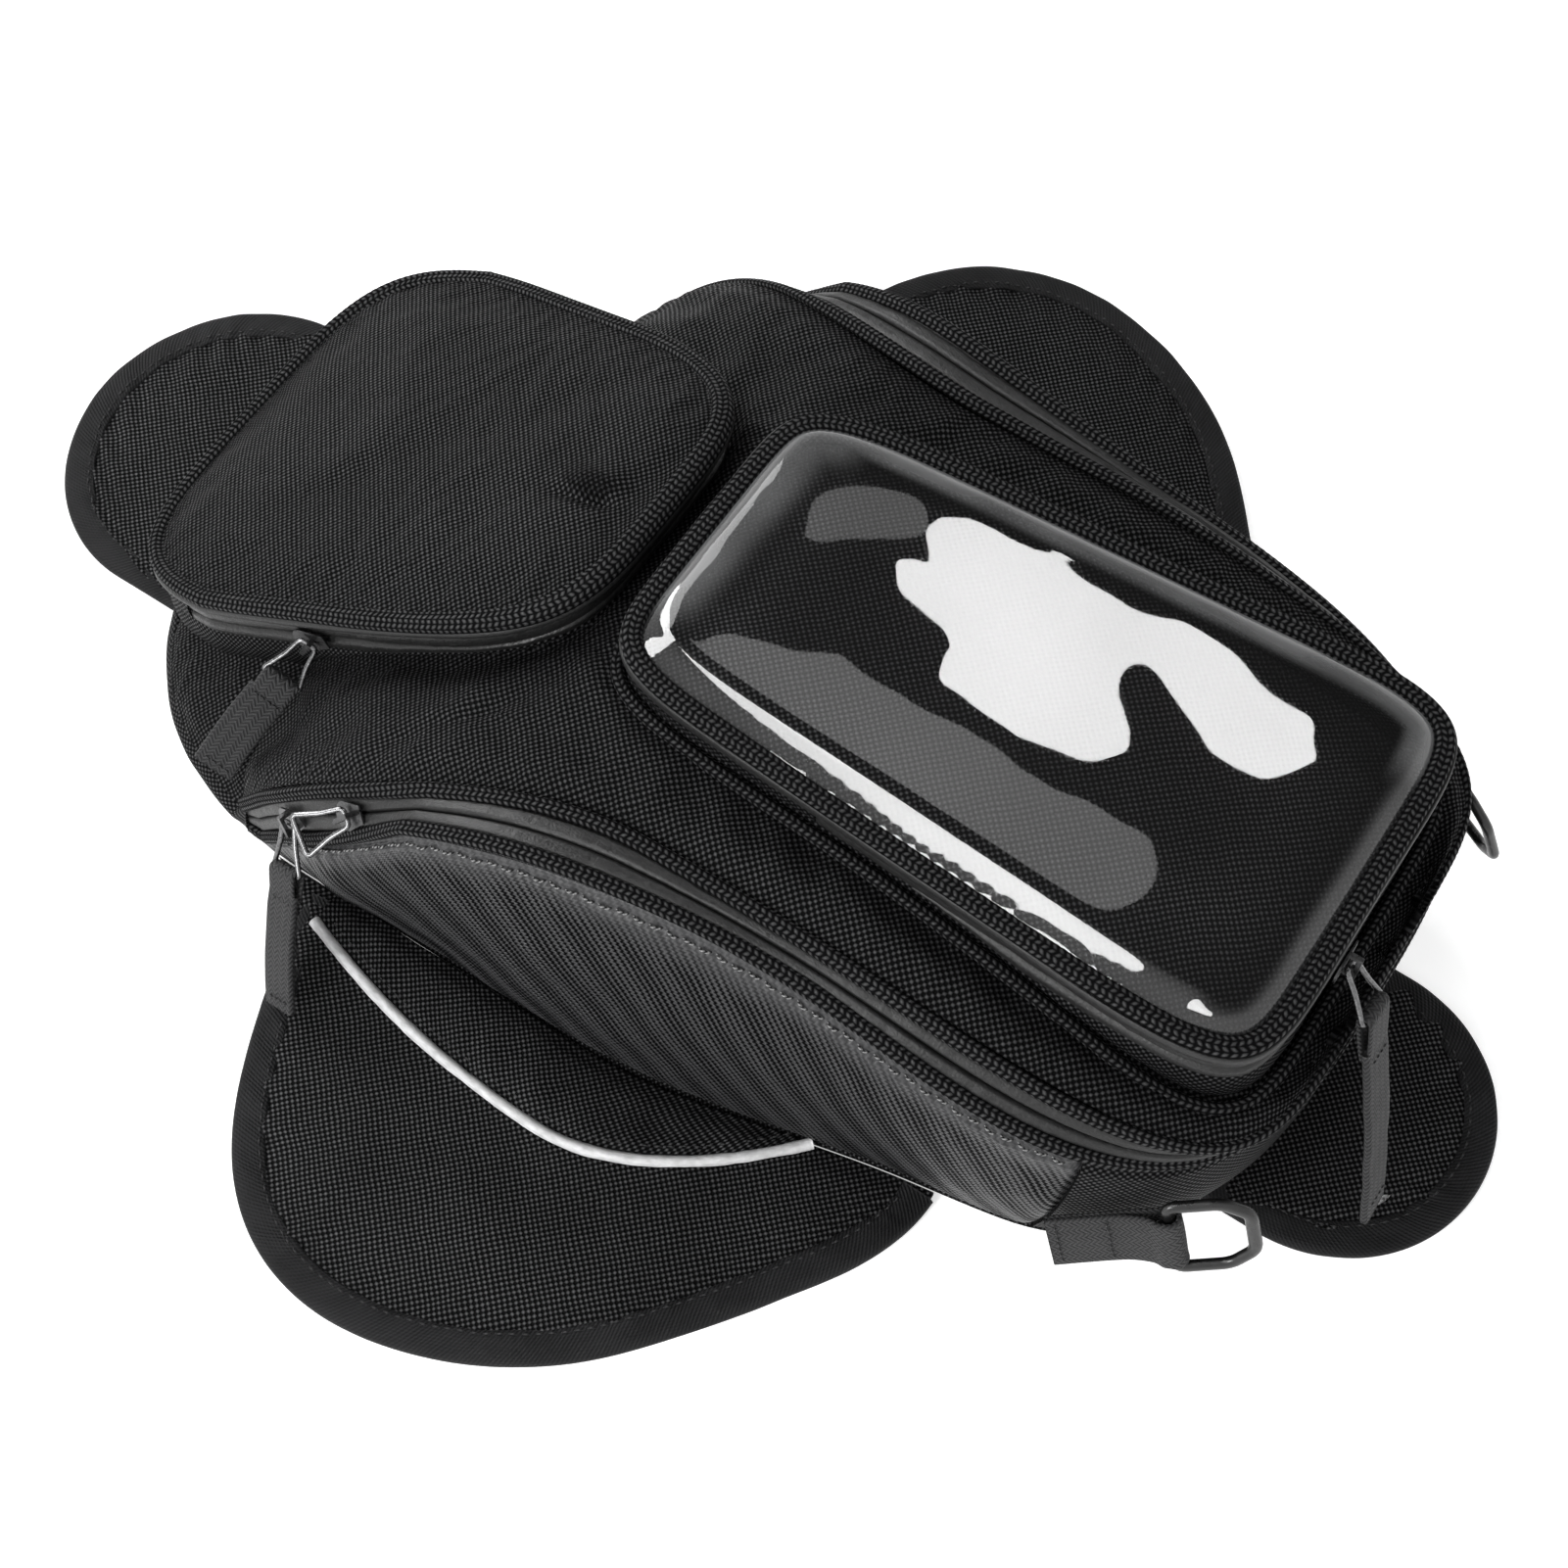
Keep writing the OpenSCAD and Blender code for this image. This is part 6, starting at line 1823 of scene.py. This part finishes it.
def card(name, outline_xy, height, strength, pts=None):
    """A lit card whose shape is seen mirrored in the level film at the given outline."""
    given = pts is not None
    pts = pts if given else []
    for px_, py_ in ([] if given else outline_xy):
        p_ = np.array([px_, py_, FILM_Z])
        d_ = (p_ - CAM) * [1, 1, -1]
        pts.append(p_ + d_ * (height / d_[2]))
    pts = even(bezier(np.array(pts + pts[:1]), 400), n=220, closed=False)
    m_ = bpy.data.meshes.new(name)
    m_.from_pydata([tuple(q * 0.001) for q in pts[:-1]], [], [tuple(range(len(pts) - 1))])
    M = Mat(name)
    e_ = M.n("ShaderNodeEmission"); e_.inputs[0].default_value = (1, 1, 1, 1)
    x_, y_, z_, v_ = M.obj()
    M.link(M.ramp(M.noise(M.scaled(v_, 0.006, 0.006, 0.006), 1.0, 1.0), strength * 0.86, strength * 1.1, 0.3, 0.7), e_.inputs[1])
    M.link(e_.outputs[0], M.out.inputs[0])
    m_.materials.append(M.m)
    o_ = bpy.data.objects.new(name, m_)
    sc.collection.objects.link(o_)
    o_.visible_camera = False
    return o_


BLOB = [(35, -46), (39, -53), (39, -65), (39, -77), (38, -89), (38, -102), (42, -113), (41, -123), (39, -132), (35, -143), (34, -155), (28, -159), (23, -161), (13, -155), (11, -149), (11, -139), (14, -132), (18, -124), (23, -116), (23, -111), (19, -108), (12, -111), (8, -115), (4, -119), (-1, -120), (-8, -114), (-11, -105), (-12, -95), (-11, -85), (-9, -77), (-8, -70), (-2, -68), (2, -67), (6, -61), (6, -55), (8, -48), (16, -42), (19, -45), (20, -49), (25, -44), (28, -43), (33, -44)]
BAND = [(-47, -9), (-41, -10), (-30, -16), (-26, -25), (-19, -41), (-17, -47), (-18, -64), (-18, -85), (-20, -108), (-18, -128), (-20, -138), (-26, -144), (-34, -144), (-41, -140), (-44, -132), (-45, -119), (-44, -101), (-44, -87), (-44, -72), (-45, -58), (-46, -44), (-47, -29), (-48, -23), (-50, -12)]
PATCH = [(9, -17), (17, -13), (25, -15), (32, -23), (36, -36), (25, -43), (20, -34), (10, -22)]
card("softbox_card", BLOB, 650, 17.0)
card("fill_card", BAND, 700, 2.1)
card("small_card", PATCH, 700, 1.7)

# the sloping near edge of the film: distance along it towards the front (from y = -80), distance in from it
arc = edge_p[:, :2]
k80 = int(np.argmin(np.where(arc[:, 0] < 0, np.abs(arc[:, 1] + 80), 1e9)))
sgn_ = 1 if arc[(k80 + 9) % len(arc), 1] > arc[k80, 1] else -1
seq = [arc[(k80 + sgn_ * i_) % len(arc)] for i_ in range(0, 620)]
back_seq = [arc[(k80 - sgn_ * i_) % len(arc)] for i_ in range(1, 620)][::-1]
seq = np.array(back_seq + seq)
sl = np.concatenate([[0], np.cumsum(np.linalg.norm(np.diff(seq, axis=0), axis=1))])
sl -= sl[len(back_seq)]


def edge_card(name, items, dist, strength, slope=0.53):
    pts = []
    for s_, d_ in items:
        q = np.array([np.interp(s_, sl, seq[:, 0]), np.interp(s_, sl, seq[:, 1])])
        q2 = np.array([np.interp(s_ + 2, sl, seq[:, 0]), np.interp(s_ + 2, sl, seq[:, 1])])
        q1 = np.array([np.interp(s_ - 2, sl, seq[:, 0]), np.interp(s_ - 2, sl, seq[:, 1])])
        t_ = unit(q2 - q1)
        o_ = np.array([-t_[1], t_[0]])
        if o_ @ (q - [0, -80]) < 0:
            o_ = -o_
        p_ = np.array([q[0] - o_[0] * d_, q[1] - o_[1] * d_, FILM_Z - slope * max(0.0, 8.8 - d_)])
        sl_ = slope / (1 + math.exp(-(8.8 - d_) / 0.55))
        n_ = unit(np.array([sl_ * o_[0], sl_ * o_[1], 1.0]))
        di = unit(p_ - CAM)
        do = di - 2 * (di @ n_) * n_
        pts.append(p_ + do * dist)
    o_ = card(name, None, dist, strength, pts=pts)
    o_.visible_diffuse = False
    return o_


edge_card("strip_card", [(74, 7.6), (55, 7.8), (20, 8.0), (-30, 8.0), (-66, 7.8), (-74, 6.4), (-66, 4.4), (-30, 3.4), (10, 3.9), (40, 5.2), (60, 6.6)], 900, 17.0)
edge_card("corner_card", [(76, 8.0), (84, 8.2), (90, 8.1), (97, 8.0), (103, 6.0), (99, 2.4), (90, 1.0), (82, 1.0), (77, 3.6)], 900, 17.0)
area("left_soft", (-850, 100, 520), (-60, 0, 20), 300, 300, 6.0)
area("front_soft", (350, 900, 700), (0, 60, 40), 500, 500, 3.5)
